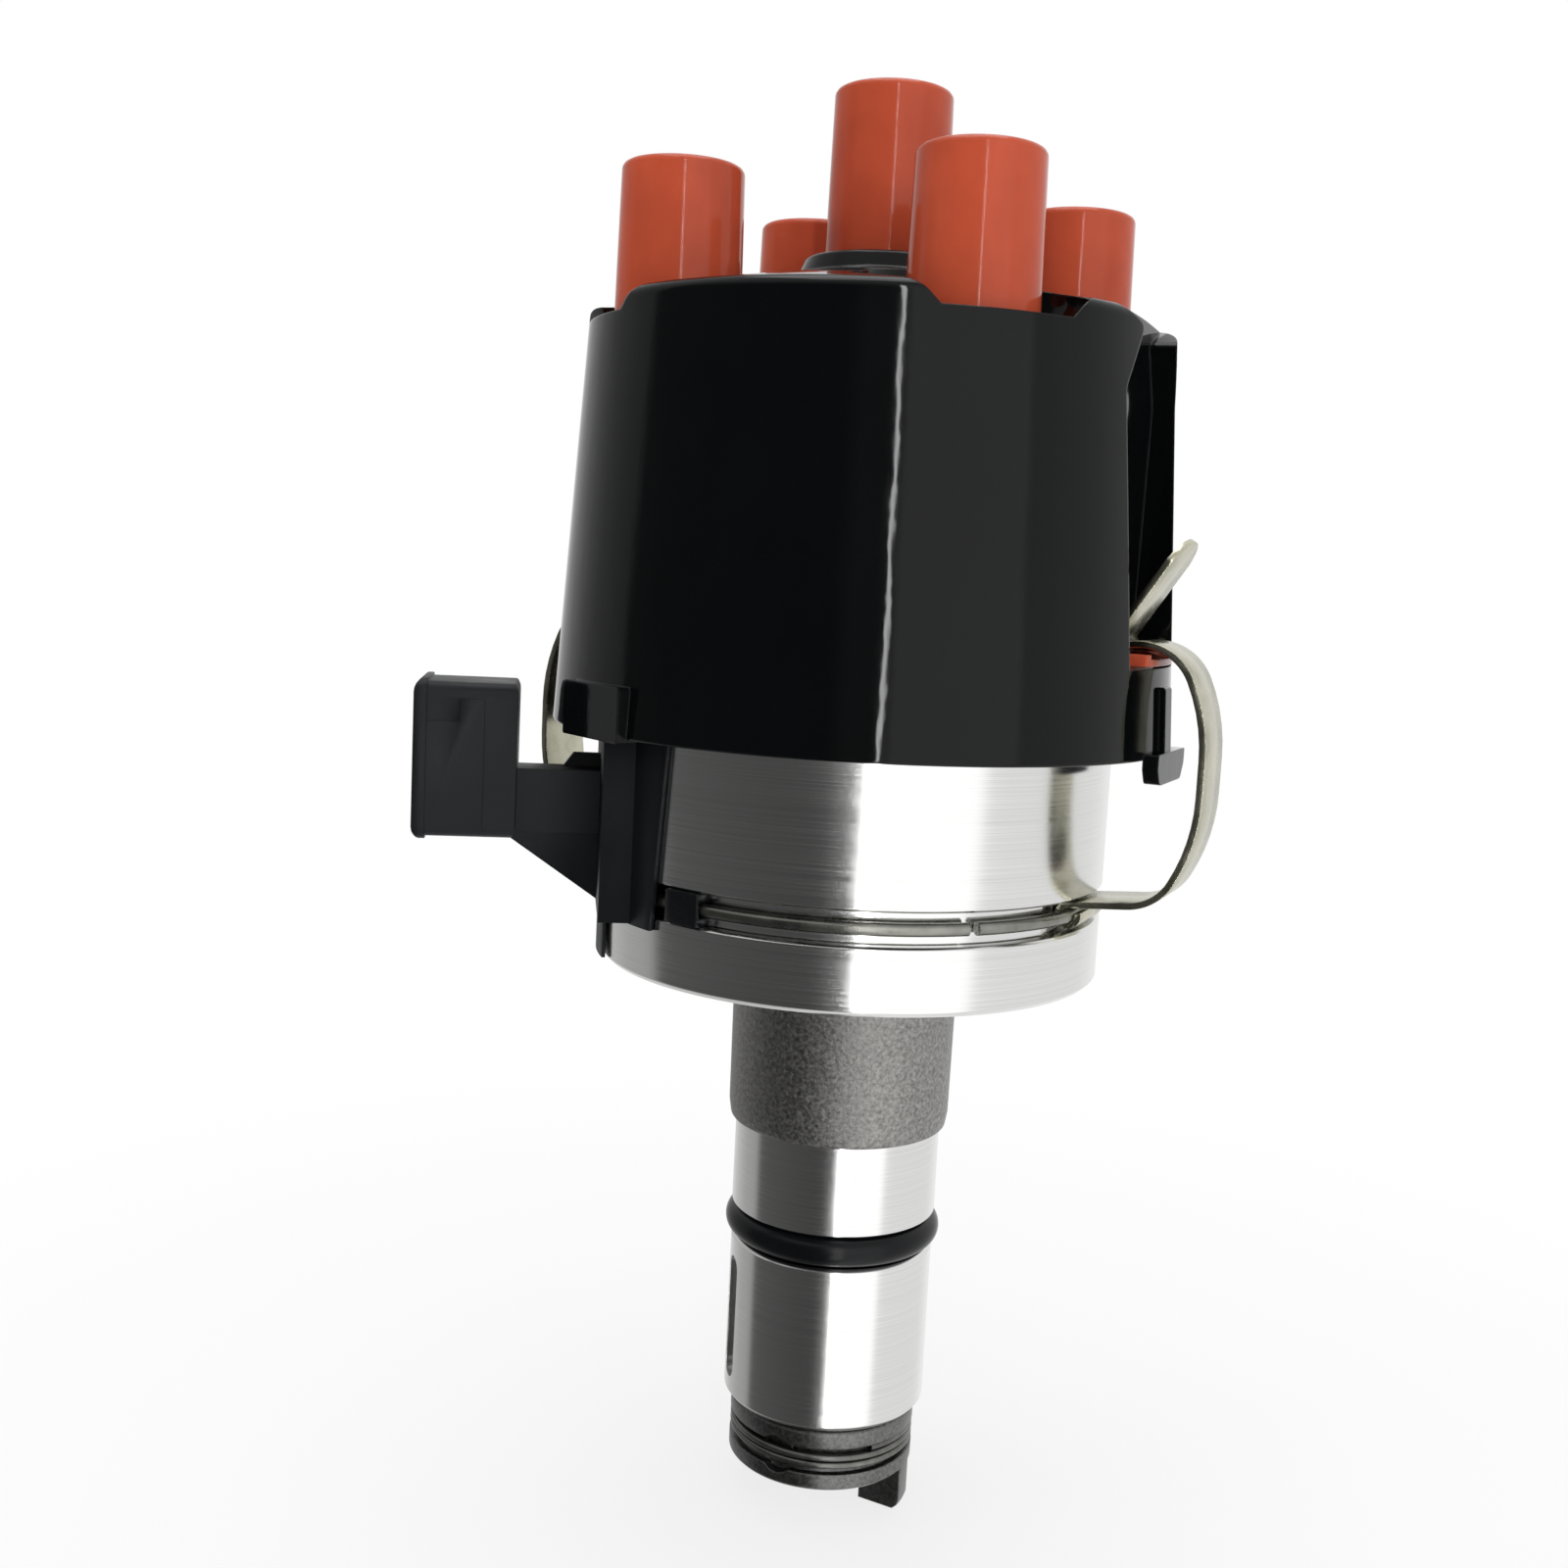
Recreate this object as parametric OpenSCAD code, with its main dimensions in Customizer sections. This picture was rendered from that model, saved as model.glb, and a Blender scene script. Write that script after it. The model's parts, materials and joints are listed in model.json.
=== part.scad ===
// Ignition distributor with a Hall trigger, spring clips and a screened cap.
// The origin lies on the axis, at the shoulder where the shank enters the engine.
// +Z runs up to the lead towers and -X points along the signal connector.

/* [Shank] */
// Diameter of the upper land, which centres the unit in its bore
shank_d = 27; // [26.5:0.1:28]
// Length of the shank below the shoulder
shank_len = 37.9; // [36:0.1:42]
// Length of the upper land, above the seal groove
upper_land_len = 11.9; // [10:0.1:14]
// How much smaller the lower land is in diameter
land_relief = 0.2; // [0.05:0.05:0.6]
// Cord diameter of the seal ring
seal_cord_d = 3.9; // [3.2:0.1:4.2]
// How far the seal ring stands out of the upper land
seal_proud = 0.75; // [0.4:0.05:1.1]
// Width of the oil slot in the lower land
oil_slot_w = 3.2; // [2.8:0.1:4]
// Angle of the oil slot, from +X
oil_slot_angle = 189; // [186:1:192]
// Length of the oil slot in the lower land
oil_slot_len = 16.6; // [12:0.1:18]
// Depth of the oil slot
oil_slot_depth = 2.4; // [1:0.1:3.4]

/* [Neck and flange] */
// Diameter of the rough cast neck above the shoulder
neck_d = 28.8; // [28.2:0.1:32]
// Height of the neck, from the shoulder to the flange
neck_len = 21.8; // [20:0.1:26]
// Diameter of the turned flange
flange_d = 64.4; // [62:0.1:64.6]
// Thickness of the flange
flange_t = 8.2; // [7:0.1:10]

/* [Bowl] */
// Outer diameter of the bowl
bowl_d = 64.6; // [64.4:0.1:68]
// Height of the bowl above the clip groove
bowl_h = 19; // [18.4:0.1:22]
// Thickness of the bowl's side wall
bowl_wall = 2.8; // [2:0.1:3.2]
// Thickness of the bowl's floor above the clip groove
floor_t = 2; // [1.6:0.1:2.6]
// Height of the clip groove
groove_h = 4; // [3.9:0.1:5]
// Depth of the clip groove
groove_depth = 2; // [1.9:0.1:2.6]

/* [Spring clips] */
// Diameter of the formed wire that carries both clips
wire_d = 1.6; // [1.2:0.1:1.7]
// Thickness of a clip's steel strip
strip_t = 0.8; // [0.6:0.05:0.9]
// Width of a clip's steel strip
strip_w = 9.5; // [8:0.1:10]
// Bend radius at the foot of the bow
foot_bend_r = 6.3; // [5.5:0.1:7]
// Bend radius of the long bow
bow_bend_r = 22; // [20:0.1:24]
// Bend radius over the top of the bow
top_bend_r = 6.7; // [6:0.1:7.2]
// Length of the finger tab beyond the snap bend
tab_len = 13.3; // [11:0.1:15]
// Angle of the clip that faces forwards, from +X
clip_angle = -33; // [-36:1:-30]

/* [Cap and lead towers] */
// Height of the cap from its joint to its shoulder
cap_h = 43.8; // [42:0.1:48]
// Height of the snap ears above the cap's joint
ear_h = 9.8; // [9:0.1:11]
// Width of a snap ear
ear_w = 13; // [12:0.1:15]
// Distance of the plug lead towers inside the cap's side
tower_inset = 3.4; // [3.2:0.1:3.8]
// Diameter of a plug lead tower at its foot
tower_d = 15.4; // [14:0.1:16]
// Height of a plug lead tower above the shoulder
tower_h = 20.9; // [19:0.1:24]
// How much higher the coil lead tower ends than the others
coil_rise = 12; // [10:0.1:14]
// Bore of a lead socket
socket_d = 8; // [7:0.1:8.6]
// Depth of a lead socket
socket_depth = 16; // [12:0.1:17]
// Angle of the first plug lead tower, from +X
tower_angle = 12; // [9:1:15]

/* [Screening cover] */
// Clear overhang of the cover's lower edge beyond the bowl
cover_gap = 7.1; // [6.6:0.1:8]
// How much smaller the radius is at the cover's rim
cover_draft = 3; // [2:0.1:3.4]
// Wall thickness of the cover
cover_wall = 1.5; // [1.2:0.1:1.6]
// How far the cover hangs below the bowl's rim
cover_overlap = 1.4; // [0.8:0.1:3]
// Height of the cover's rim above the cap's shoulder
cover_rise = 4.9; // [4.5:0.1:6]
// Rise of the sloping deck from the rim to the centre boss
deck_rise = 5.1; // [4:0.1:6]
// Radius of the wells round the lead towers at the deck
well_r = 12.6; // [11.8:0.1:12.8]
// Half width of a clip flute at the sill of its window
flute_half_w = 10.1; // [9.5:0.1:11]

/* [Shaft and drive] */
// Diameter of the drive shaft
shaft_d = 12.4; // [11:0.1:13]
// Outer diameter of the two bearing bushes
bush_d = 16; // [15:0.1:16.4]
// Length of a bearing bush
bush_len = 18; // [14:0.1:22]
// Diameter of the drive dog
dog_d = 24.7; // [23:0.1:26]
// Height of the drive dog's body
dog_h = 8; // [7.4:0.1:10]
// Height of the drive tang below the dog's body
tang_h = 5.5; // [4:0.1:6.5]
// Thickness of the two lugs of the drive tang
tang_w = 3; // [2.6:0.1:4]
// Diameter of the pin through the dog and the shaft
pin_d = 3.9; // [3:0.1:4]
// Angle of the drive tang at rest, from +X
rotor_angle = -37; // [-40:1:-30]

/* [Hall trigger] */
// Distance of the four vanes inside the bowl's wall
vane_inset = 9.5; // [9:0.1:10]
// Sheet thickness of the vane cup
vane_t = 0.8; // [0.6:0.1:1]
// Angle that each vane covers
vane_arc = 38; // [30:1:45]
// Air gap between the vanes and the poles on each side
air_gap = 1.4; // [1:0.1:1.6]

/* [Signal connector] */
// Distance of the socket's mouth from the axis
socket_reach = 56.2; // [54:0.1:60]
// Length of the socket along the mating direction
mouth_len = 12.6; // [12:0.1:15]
// Width of the socket
mouth_w = 12.8; // [12:0.1:15]
// Height of the socket
mouth_h = 19.2; // [17:0.1:21]
// Wall thickness of the socket
mouth_wall = 1.6; // [1.2:0.1:1.8]
// Thickness of the arm between the saddle and the socket
arm_w = 6; // [5:0.1:8]

/* [Rotor arm and brush] */
// Gap between the rotor tip and the side electrodes
spark_gap = 0.6; // [0.4:0.1:0.8]
// Diameter of the brass side electrodes
electrode_d = 4.8; // [4:0.1:5]
// Diameter of the carbon brush
brush_d = 4.6; // [4:0.1:5]
// Length of the carbon brush
brush_len = 8; // [6:0.1:9]

/* [Hidden] */

$fn = 96;
tiny = 0.01;

// Clearances
run_fit = 0.03;
slip_fit = 0.05;
press_gap = 0.02;
seat_gap = 0.3;
end_float = 0.1;

// Levels, from the shoulder upwards
z_flange = neck_len;
z_groove = z_flange + flange_t;
z_bowl = z_groove + groove_h;
z_floor = z_bowl + floor_t;
z_rim = z_bowl + bowl_h;
dust_cover_t = 1.2;
z_cap = z_rim + dust_cover_t;
z_ear = z_cap + ear_h;
z_shoulder = z_cap + cap_h;
z_tower = z_shoulder + tower_h;
cap_boss_h = 6;
z_coil_seat = z_shoulder + cap_boss_h;
z_coil = z_tower + coil_rise;

// Radii of the casting
shank_r = shank_d / 2;
neck_r = neck_d / 2;
flange_r = flange_d / 2;
bowl_r = bowl_d / 2;
bowl_in_r = bowl_r - bowl_wall;
groove_r = bowl_r - groove_depth;
bush_r = bush_d / 2;
shaft_r = shaft_d / 2;
edge = 0.5;

// Seal ring and its groove
seal_r = seal_cord_d / 2;
seal_mid_r = shank_r + seal_proud - seal_r;
seal_groove_w = seal_cord_d + seat_gap;

// Wire ring and clip hinges
wire_r = wire_d / 2;
ring_r = groove_r + 0.2 + wire_r;
hinge_half = 6.2;
hinge_rho = sqrt(ring_r * ring_r - hinge_half * hinge_half);
eye_r = wire_r + slip_fit + strip_t;
hinge_z = z_groove + seat_gap + eye_r;
pocket_rho = hinge_rho - eye_r - 0.25;
ring_end_angle = -73;
ring_gap_angle = 2.5;

// Clip outline, as runs of [0, length] or [bend radius, signed angle]
leg_rise = 6;
leg_len = 7.3;
foot_turn = 56;
bow_turn = 25;
top_turn = 82;
snap_bend_r = 1;
tab_angle = 57;
eye_turn = 280;
eye_mid_r = eye_r - strip_t / 2;
clip_start = [
    hinge_rho - eye_mid_r * sin(leg_rise + eye_turn), hinge_z + eye_mid_r * cos(leg_rise + eye_turn),
    leg_rise + eye_turn];
function run_end(s, run) = run[0] == 0
    ? [s[0] + run[1] * cos(s[2]), s[1] + run[1] * sin(s[2]), s[2]]
    : let (side = sign(run[1]), h = s[2] + run[1])
      [s[0] + side * run[0] * (sin(h) - sin(s[2])), s[1] - side * run[0] * (cos(h) - cos(s[2])), h];
function run_starts(s, runs, i = 0) =
    i >= len(runs) ? [s] : concat([s], run_starts(run_end(s, runs[i]), runs, i + 1));
function bow_runs(rise) = [
    [eye_mid_r, -eye_turn], [0, leg_len], [foot_bend_r, foot_turn], [bow_bend_r, 90 - leg_rise - foot_turn],
    [0, rise], [bow_bend_r, bow_turn], [top_bend_r, top_turn]];
function last(list) = list[len(list) - 1];
bow_top_heading = 90 + bow_turn + top_turn;
snap_turn = tab_angle - bow_top_heading;
// The bow's straight run is as long as the snap bend needs to rest just above the ear
snap_z = z_ear + 0.4 + strip_t / 2;
snap_drop = snap_bend_r * (1 + cos(bow_top_heading));
bow_rise = snap_z + snap_drop - last(run_starts(clip_start, bow_runs(0)))[1];
clip_runs = concat(bow_runs(bow_rise), [[snap_bend_r, snap_turn], [0, tab_len]]);
clip_starts = run_starts(clip_start, clip_runs);
snap_start = clip_starts[len(clip_runs) - 2];
snap_rho = snap_start[0] + snap_bend_r * sin(bow_top_heading);
// Radius at which the snap bend's lower face swings about the hinge
snap_swing_r = norm([snap_rho - hinge_rho, snap_z - strip_t / 2 - hinge_z]);

// Cap
cap_inset = 2.3;
cap_r = bowl_r - cap_inset;
cap_wall = 2.2;
cap_in_r = cap_r - cap_wall;
tower_r = tower_d / 2;
circle_r = cap_r - tower_inset;
socket_r = socket_d / 2;
tower_taper = 0.35;
root_r = tower_r + 0.15;
electrode_r = electrode_d / 2;
cap_upper_r = circle_r - electrode_r + 0.4;
roof_t = 8;
z_roof = z_shoulder - roof_t;
z_step = z_roof - 15;
nose_h = 1.4;
z_sill = z_ear - nose_h - seat_gap;
z_window = z_ear + 2.6;

// Screening cover
cover_r = bowl_r + cover_gap;
cover_top_r = cover_r - cover_draft;
z_cover = z_rim - cover_overlap;
z_cover_rim = z_shoulder + cover_rise;
z_deck_top = z_cover_rim + deck_rise;
boss_r = 11;
boss_top_r = 10;
boss_h = 2.3;
rim_round = 1.2;
deck_t = 2;
flute_rho = cap_r + 2.2;
flute_wall = 1.4;
well_floor = z_cover_rim - 2.45;
well_flare = 0.6;
well_wall = 1.2;
function cover_r_at(z) = cover_r - cover_draft * (z - z_cover) / (z_cover_rim - z_cover);

// Shaft, dog and rotor
shaft_step = 0.6;
dog_r = dog_d / 2;
washer_t = 0.44;
z_dog = -shank_len - end_float - washer_t - end_float;
z_dog_low = z_dog - dog_h;
z_pin = z_dog_low + dog_h / 2;
turns = 2.6;
coil_start = 150;
coil_wire_r = 0.48;
coil_pitch = 1;
coil_h = turns * coil_pitch + 2 * coil_wire_r;
coil_groove_r = dog_r - 2 * coil_wire_r - slip_fit;
coil_mid_r = dog_r - coil_wire_r - 0.01;
pin_r = pin_d / 2;
pin_mouth_r = 2.5;
tang_offset = 1.3;
tang_start = 6.4;
hub_r = shaft_r + 2.8;
z_vane_top = z_floor + 12.6;
z_hub = z_floor + 0.5 + end_float;
vane_low = z_floor + 3.4;
window_arc = 90 - vane_arc;
z_shaft = z_rim + 17;
z_rotor = z_roof - 6;
tip_r = circle_r - electrode_r - spark_gap;
brush_r = brush_d / 2;
contact_t = 1;
z_brush = z_rotor + contact_t + end_float;
brush_bore_r = brush_r + slip_fit;
brush_bore_top = z_brush + brush_len + 4;
stud_drop = 10;
spring_wire_r = 0.3;

// Connector
saddle_t = 0.65;
saddle_arc = 38;
saddle_lean = 5;
block_half = 15;
block_rho = bowl_r + 0.9;
z_block = z_groove - 1.6;
z_block_top = z_rim - 1;
z_arm = z_groove + 7.4;
arm_h = 8;
z_mouth = z_arm - 0.5;
mouth_rho = socket_reach - mouth_len;
pin_len = 5;

// Hall unit
plate_t = 1.2;
z_plate = z_floor + plate_t;
screw_circle = bowl_in_r - 4.2;
vane_r = bowl_in_r - vane_inset;
sensor_out_r = vane_r - vane_t / 2 - air_gap;
magnet_in_r = vane_r + vane_t / 2 + air_gap;
pole_t = 3.4;
sensor_h = 9.4;
sensor_arc = 44;
carrier_t = 1.3;
magnet_h = 9;
magnet_arc = 36;

// Places a shape whose +X is radial at an angle from +X
module at_angle(a, r = 0) {
    rotate([0, 0, a]) translate([r, 0, 0]) children();
}

// Ring of rectangular section
module ring(r_out, r_in, z0, z1) {
    translate([0, 0, z0]) difference() {
        cylinder(h = z1 - z0, r = r_out);
        translate([0, 0, -1]) cylinder(h = z1 - z0 + 2, r = r_in);
    }
}

// Part of a ring, centred on +X
module ring_part(r_out, r_in, z0, z1, arc) {
    translate([0, 0, z0]) rotate([0, 0, -arc / 2]) rotate_extrude(angle = arc)
        translate([r_in, 0]) square([r_out - r_in, z1 - z0]);
}

// Block given by its ranges along X, Y and Z
module block(x0, x1, y0, y1, z0, z1) {
    translate([x0, y0, z0]) cube([x1 - x0, y1 - y0, z1 - z0]);
}

// Turned and cast outline of the housing
module housing_outline() {
    low_r = shank_r - land_relief / 2;
    rotate_extrude() polygon([
        [0, -shank_len], [low_r - edge, -shank_len], [low_r, -shank_len + edge],
        [low_r, -upper_land_len - seal_groove_w - 0.4],
        [low_r - 0.4, -upper_land_len - seal_groove_w],
        [seal_mid_r - seal_r - slip_fit, -upper_land_len - seal_groove_w],
        [seal_mid_r - seal_r - slip_fit, -upper_land_len],
        [shank_r - 0.3, -upper_land_len], [shank_r, -upper_land_len + 0.3],
        [shank_r, 0], [neck_r - edge, 0], [neck_r, edge],
        [neck_r + 0.2, z_flange - 2], [neck_r + 1, z_flange - 0.6], [neck_r + 2, z_flange],
        [flange_r - edge, z_flange], [flange_r, z_flange + edge],
        [flange_r, z_groove - 0.3], [flange_r - 0.3, z_groove], [groove_r, z_groove],
        [groove_r, z_bowl], [bowl_r - 0.3, z_bowl], [bowl_r, z_bowl + 0.3],
        [bowl_r, z_rim - edge], [bowl_r - edge, z_rim], [0, z_rim]]);
}

// Housing casting: shank, neck, flange and bowl in one
module housing() {
    color("silver") difference() {
        housing_outline();
        translate([0, 0, -shank_len - 1]) cylinder(h = shank_len + z_rim, r = bush_r);
        translate([0, 0, z_floor]) cylinder(h = bowl_h, r = bowl_in_r);
        // Oil slot with round ends
        at_angle(oil_slot_angle, shank_r - land_relief / 2 - oil_slot_depth) oil_slot();
        // Flats across the clip groove, where the clip eyes turn
        for (a = [clip_angle, clip_angle + 180])
            at_angle(a) block(pocket_rho, bowl_r + 1, -bowl_r, bowl_r, z_groove, z_bowl);
        // Window for the signal leads
        at_angle(180) block(bowl_in_r - 2, bowl_r + 1, -arm_w, arm_w, z_floor + 1.8, z_floor + 8.4);
        for (i = [0:2]) at_angle(120 * i, screw_circle)
            translate([0, 0, z_floor - 6]) cylinder(h = 7, r = 1.5);
    }
}

// Cutter for the oil slot, lying along Z
module oil_slot() {
    reach = (oil_slot_len - oil_slot_w) / 2;
    mid = -(shank_len + upper_land_len + seal_groove_w) / 2 - 0.1;
    translate([0, 0, mid]) {
        block(0, 10, -oil_slot_w / 2, oil_slot_w / 2, -reach, reach);
        for (s = [-1, 1]) translate([0, 0, s * reach]) rotate([0, 90, 0])
            cylinder(h = 10, d = oil_slot_w);
    }
}

// Rubber ring in the shank's groove
module shank_seal_ring() {
    color([0.06, 0.06, 0.06]) translate([0, 0, -upper_land_len - seal_groove_w / 2])
        rotate_extrude() translate([seal_mid_r, 0]) circle(r = seal_r);
}

// Plain bearing bush
module bush(z0) {
    color([0.72, 0.53, 0.3]) ring(bush_r - press_gap, shaft_r + run_fit, z0, z0 + bush_len);
}

module upper_bush() {
    bush(z_floor + 0.5 - bush_len);
}

module lower_bush() {
    bush(-shank_len);
}

// Steel plate that carries the Hall unit
module hall_base_plate() {
    color([0.62, 0.64, 0.62]) difference() {
        ring(bowl_in_r - seat_gap, hub_r + 2, z_floor, z_floor + plate_t);
        for (i = [0:2]) at_angle(120 * i, screw_circle)
            translate([0, 0, z_floor - 1]) cylinder(h = 4, r = 1.6);
    }
}

// Moulded Hall unit with its carrier
module hall_sensor() {
    color([0.12, 0.12, 0.13]) at_angle(180) {
        ring_part(sensor_out_r, sensor_out_r - pole_t, z_plate, z_plate + sensor_h, sensor_arc);
        ring_part(magnet_in_r + pole_t, sensor_out_r - pole_t, z_plate, z_plate + carrier_t, sensor_arc);
        block(magnet_in_r + pole_t - 1, bowl_in_r - 1.6, -4, 4, z_plate, z_plate + carrier_t);
    }
}

// Magnet on its pole piece outside the vanes
module hall_magnet() {
    color([0.3, 0.31, 0.33]) at_angle(180)
        ring_part(magnet_in_r + pole_t, magnet_in_r, z_plate + carrier_t, z_plate + magnet_h, magnet_arc);
}

// Three screws that hold the base plate
module plate_screws() {
    color([0.75, 0.75, 0.7]) for (i = [0:2]) at_angle(120 * i, screw_circle) {
        translate([0, 0, z_floor - 5]) cylinder(h = 5 + plate_t, r = 1.5 - slip_fit);
        difference() {
            translate([0, 0, z_plate]) cylinder(h = 1.8, r = 2.6);
            block(-3, 3, -0.4, 0.4, z_plate + 1, z_plate + 3);
        }
    }
}

// Saddle, arm and socket of the signal connector, moulded in one
module hall_connector() {
    seat_r = bowl_r + slip_fit;
    root = block_rho - 0.5;
    // On the far side the saddle and its block end beside the rear clip
    far_arc = -clip_angle - asin((strip_w / 2 + 0.6) / bowl_r);
    far_half = bowl_r * sin(-clip_angle) - strip_w / 2 * cos(clip_angle) - 0.7;
    color([0.13, 0.14, 0.16]) at_angle(180) difference() {
        union() {
            rotate([0, 0, (saddle_arc + 2 - far_arc) / 2])
                ring_part(seat_r + saddle_t, seat_r, z_block, z_block_top, saddle_arc + 2 + far_arc);
            // Tab that hangs over the flange's edge
            ring_part(seat_r + saddle_t - 0.1, seat_r + 0.1, z_groove - 4.4, z_block + 3, 22);
            difference() {
                block(block_rho - 8, block_rho, -far_half, block_half, z_block + 0.1, z_block_top - 0.1);
                translate([0, 0, z_block - 1]) cylinder(h = 40, r = seat_r + saddle_t / 2);
            }
            side_web(1 - far_half, 3,
                [[root, z_block + 0.3], [block_rho + 1.6, z_block + 0.3], [block_rho + 1.6, z_block + 1.4],
                 [root, z_block + 3.4]]);
            // Tongue through the bowl's window
            block(bowl_in_r - 1.6, seat_r + saddle_t - 0.1, slip_fit - arm_w, arm_w - slip_fit,
                z_floor + 1.9, z_floor + 8.3);
            // Arm with its gusset below and its stiffening rib above
            block(root, mouth_rho + 1, -arm_w / 2, arm_w / 2, z_arm, z_arm + arm_h);
            side_web(0.6 - arm_w / 2, arm_w - 1.2,
                [[root, z_block + 0.2], [mouth_rho + 1.8, z_mouth + 0.4], [mouth_rho + 1.8, z_arm + 1],
                 [root, z_arm + 1]]);
            side_web(0.3 - arm_w / 2, 1.6,
                [[root, z_arm + arm_h - 0.5], [block_rho + 5, z_arm + arm_h - 0.5],
                 [block_rho + 3.4, z_arm + arm_h + 1.7], [root, z_arm + arm_h + 1.7]]);
            socket_shell();
        }
        // Mouth for the plug
        rounded_bar(mouth_rho + 2.6, socket_reach + 1, mouth_w - 2 * mouth_wall, mouth_h - 2 * mouth_wall, 1);
        pin_places() cylinder(h = 9, r = 0.8);
        // The saddle's near edge leans back towards its foot
        rotate([0, 0, saddle_arc]) translate([0, 0, z_block_top]) rotate([-saddle_lean, 0, 0])
            block(bowl_r - 1, bowl_r + 4, 0, 6, -40, 5);
    }
}

// Web of the given outline in the radial plane
module side_web(y0, width, points) {
    translate([0, y0 + width, 0]) rotate([90, 0, 0]) linear_extrude(width) polygon(points);
}

// Points of a rectangle with round corners, centred on the origin
function rounded_rect(width, height, r) = [
    for (i = [0:3], j = [0:6]) let (a = 90 * i + 15 * j)
        [((i == 0 || i == 3) ? 1 : -1) * (width / 2 - r) + r * cos(a),
         (i < 2 ? 1 : -1) * (height / 2 - r) + r * sin(a)]];

// Bar along X with round corners, centred on the socket
module rounded_bar(x0, x1, width, height, r) {
    translate([x0, 0, z_mouth + mouth_h / 2]) rotate([90, 0, 90]) linear_extrude(x1 - x0)
        polygon(rounded_rect(width, height, r));
}

// Socket box with a thicker lip round its mouth and a latch step on each side
module socket_shell() {
    lip = 0.35;
    step = 0.28;
    side_round = 2;
    intersection() {
        union() {
            rounded_bar(mouth_rho - 1, socket_reach - 0.5, mouth_w, mouth_h, 1.4);
            rounded_bar(socket_reach - 1.6, socket_reach + 1, mouth_w + 2 * lip, mouth_h + 2 * lip, 1.7);
        }
        translate([mouth_rho + mouth_len / 2, mouth_w, z_mouth + mouth_h / 2]) rotate([90, 0, 0])
            linear_extrude(2 * mouth_w) polygon(rounded_rect(mouth_len, mouth_h + 4 * lip, side_round));
    }
    for (s = [-1, 1]) translate([0, s * mouth_w / 2, 0])
        side_web(-step, 2 * step,
            [[socket_reach - 1.2, z_mouth + 0.9], [mouth_rho + 4, z_mouth + 0.9],
             [mouth_rho + 4, z_mouth + 17.2], [mouth_rho + 7, z_mouth + 17.2],
             [mouth_rho + 7, z_mouth + 14.4], [socket_reach - 1.2, z_mouth + 14.4]]);
}

// Three places in a column at the bottom of the mouth, with Z along the pins
module pin_places() {
    for (i = [-1:1])
        translate([mouth_rho + 1.2, 0, z_mouth + mouth_h / 2 + 5 * i]) rotate([0, 90, 0]) children();
}

// Contact pins of the signal connector
module connector_pins() {
    color([0.78, 0.7, 0.45]) at_angle(180) pin_places() cylinder(h = 1.4 + pin_len, r = 0.8 - 0.02);
}

// Keeper on the wire, beside the connector's saddle
module groove_plug() {
    arc = 9;
    wire_room = wire_r + slip_fit;
    color([0.05, 0.05, 0.06]) at_angle(clip_angle - 104) difference() {
        ring_part(bowl_r + 0.5, groove_r, z_groove, z_bowl, arc);
        ring_part(ring_r + wire_room, groove_r - 1, hinge_z - wire_room, hinge_z + wire_room, arc + 2);
    }
}

// Formed wire that lies in the groove, straight where it carries a clip
module clip_ring_wire() {
    bend_angle = asin(hinge_half / ring_r);
    arc = 180 - 2 * bend_angle;
    color([0.72, 0.72, 0.68]) translate([0, 0, hinge_z]) difference() {
        for (a = [clip_angle, clip_angle + 180]) {
            at_angle(a, hinge_rho) rotate([90, 0, 0])
                cylinder(h = 2 * hinge_half + 0.3, r = wire_r - 0.02, center = true);
            at_angle(a + bend_angle) rotate_extrude(angle = arc) translate([ring_r, 0]) circle(r = wire_r);
        }
        at_angle(ring_end_angle) block(ring_r - 3, ring_r + 3, -ring_gap_angle / 4, ring_gap_angle / 4, -3, 3);
    }
}

// Thin disc between the bowl and the cap
module dust_cover() {
    color([0.16, 0.16, 0.17]) ring(bowl_r - edge, hub_r + 2.6, z_rim, z_cap);
}

// Snap ear with a nose over the cover's sill and a channel for the clip
module snap_ear() {
    difference() {
        union() {
            intersection() {
                translate([0, 0, z_cap]) cylinder(h = ear_h, r = cover_r_at(z_sill) - cover_wall - seat_gap);
                side_web(-ear_w / 2, ear_w,
                    [[cap_in_r + 0.5, z_cap], [cap_r + 3, z_cap], [cap_r + 8, z_cap + 4],
                     [cap_r + 12, z_cap + 4], [cap_r + 12, z_ear], [cap_in_r + 0.5, z_ear]]);
            }
            intersection() {
                translate([0, 0, z_ear - nose_h]) cylinder(h = nose_h, r = cover_r_at(z_ear) + 0.2);
                block(cap_in_r + 0.5, cover_r + 5, -ear_w / 2, ear_w / 2, z_ear - nose_h, z_ear);
            }
        }
        // Channel floor follows the clip's swing
        difference() {
            block(cap_r + 0.6, cover_r + 5, -strip_w / 2 - seat_gap, strip_w / 2 + seat_gap, z_ear - 4, z_ear + 1);
            translate([hinge_rho, 0, hinge_z]) rotate([90, 0, 0])
                cylinder(h = 2 * ear_w, r = snap_swing_r - seat_gap, center = true, $fn = 200);
        }
    }
}

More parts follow.
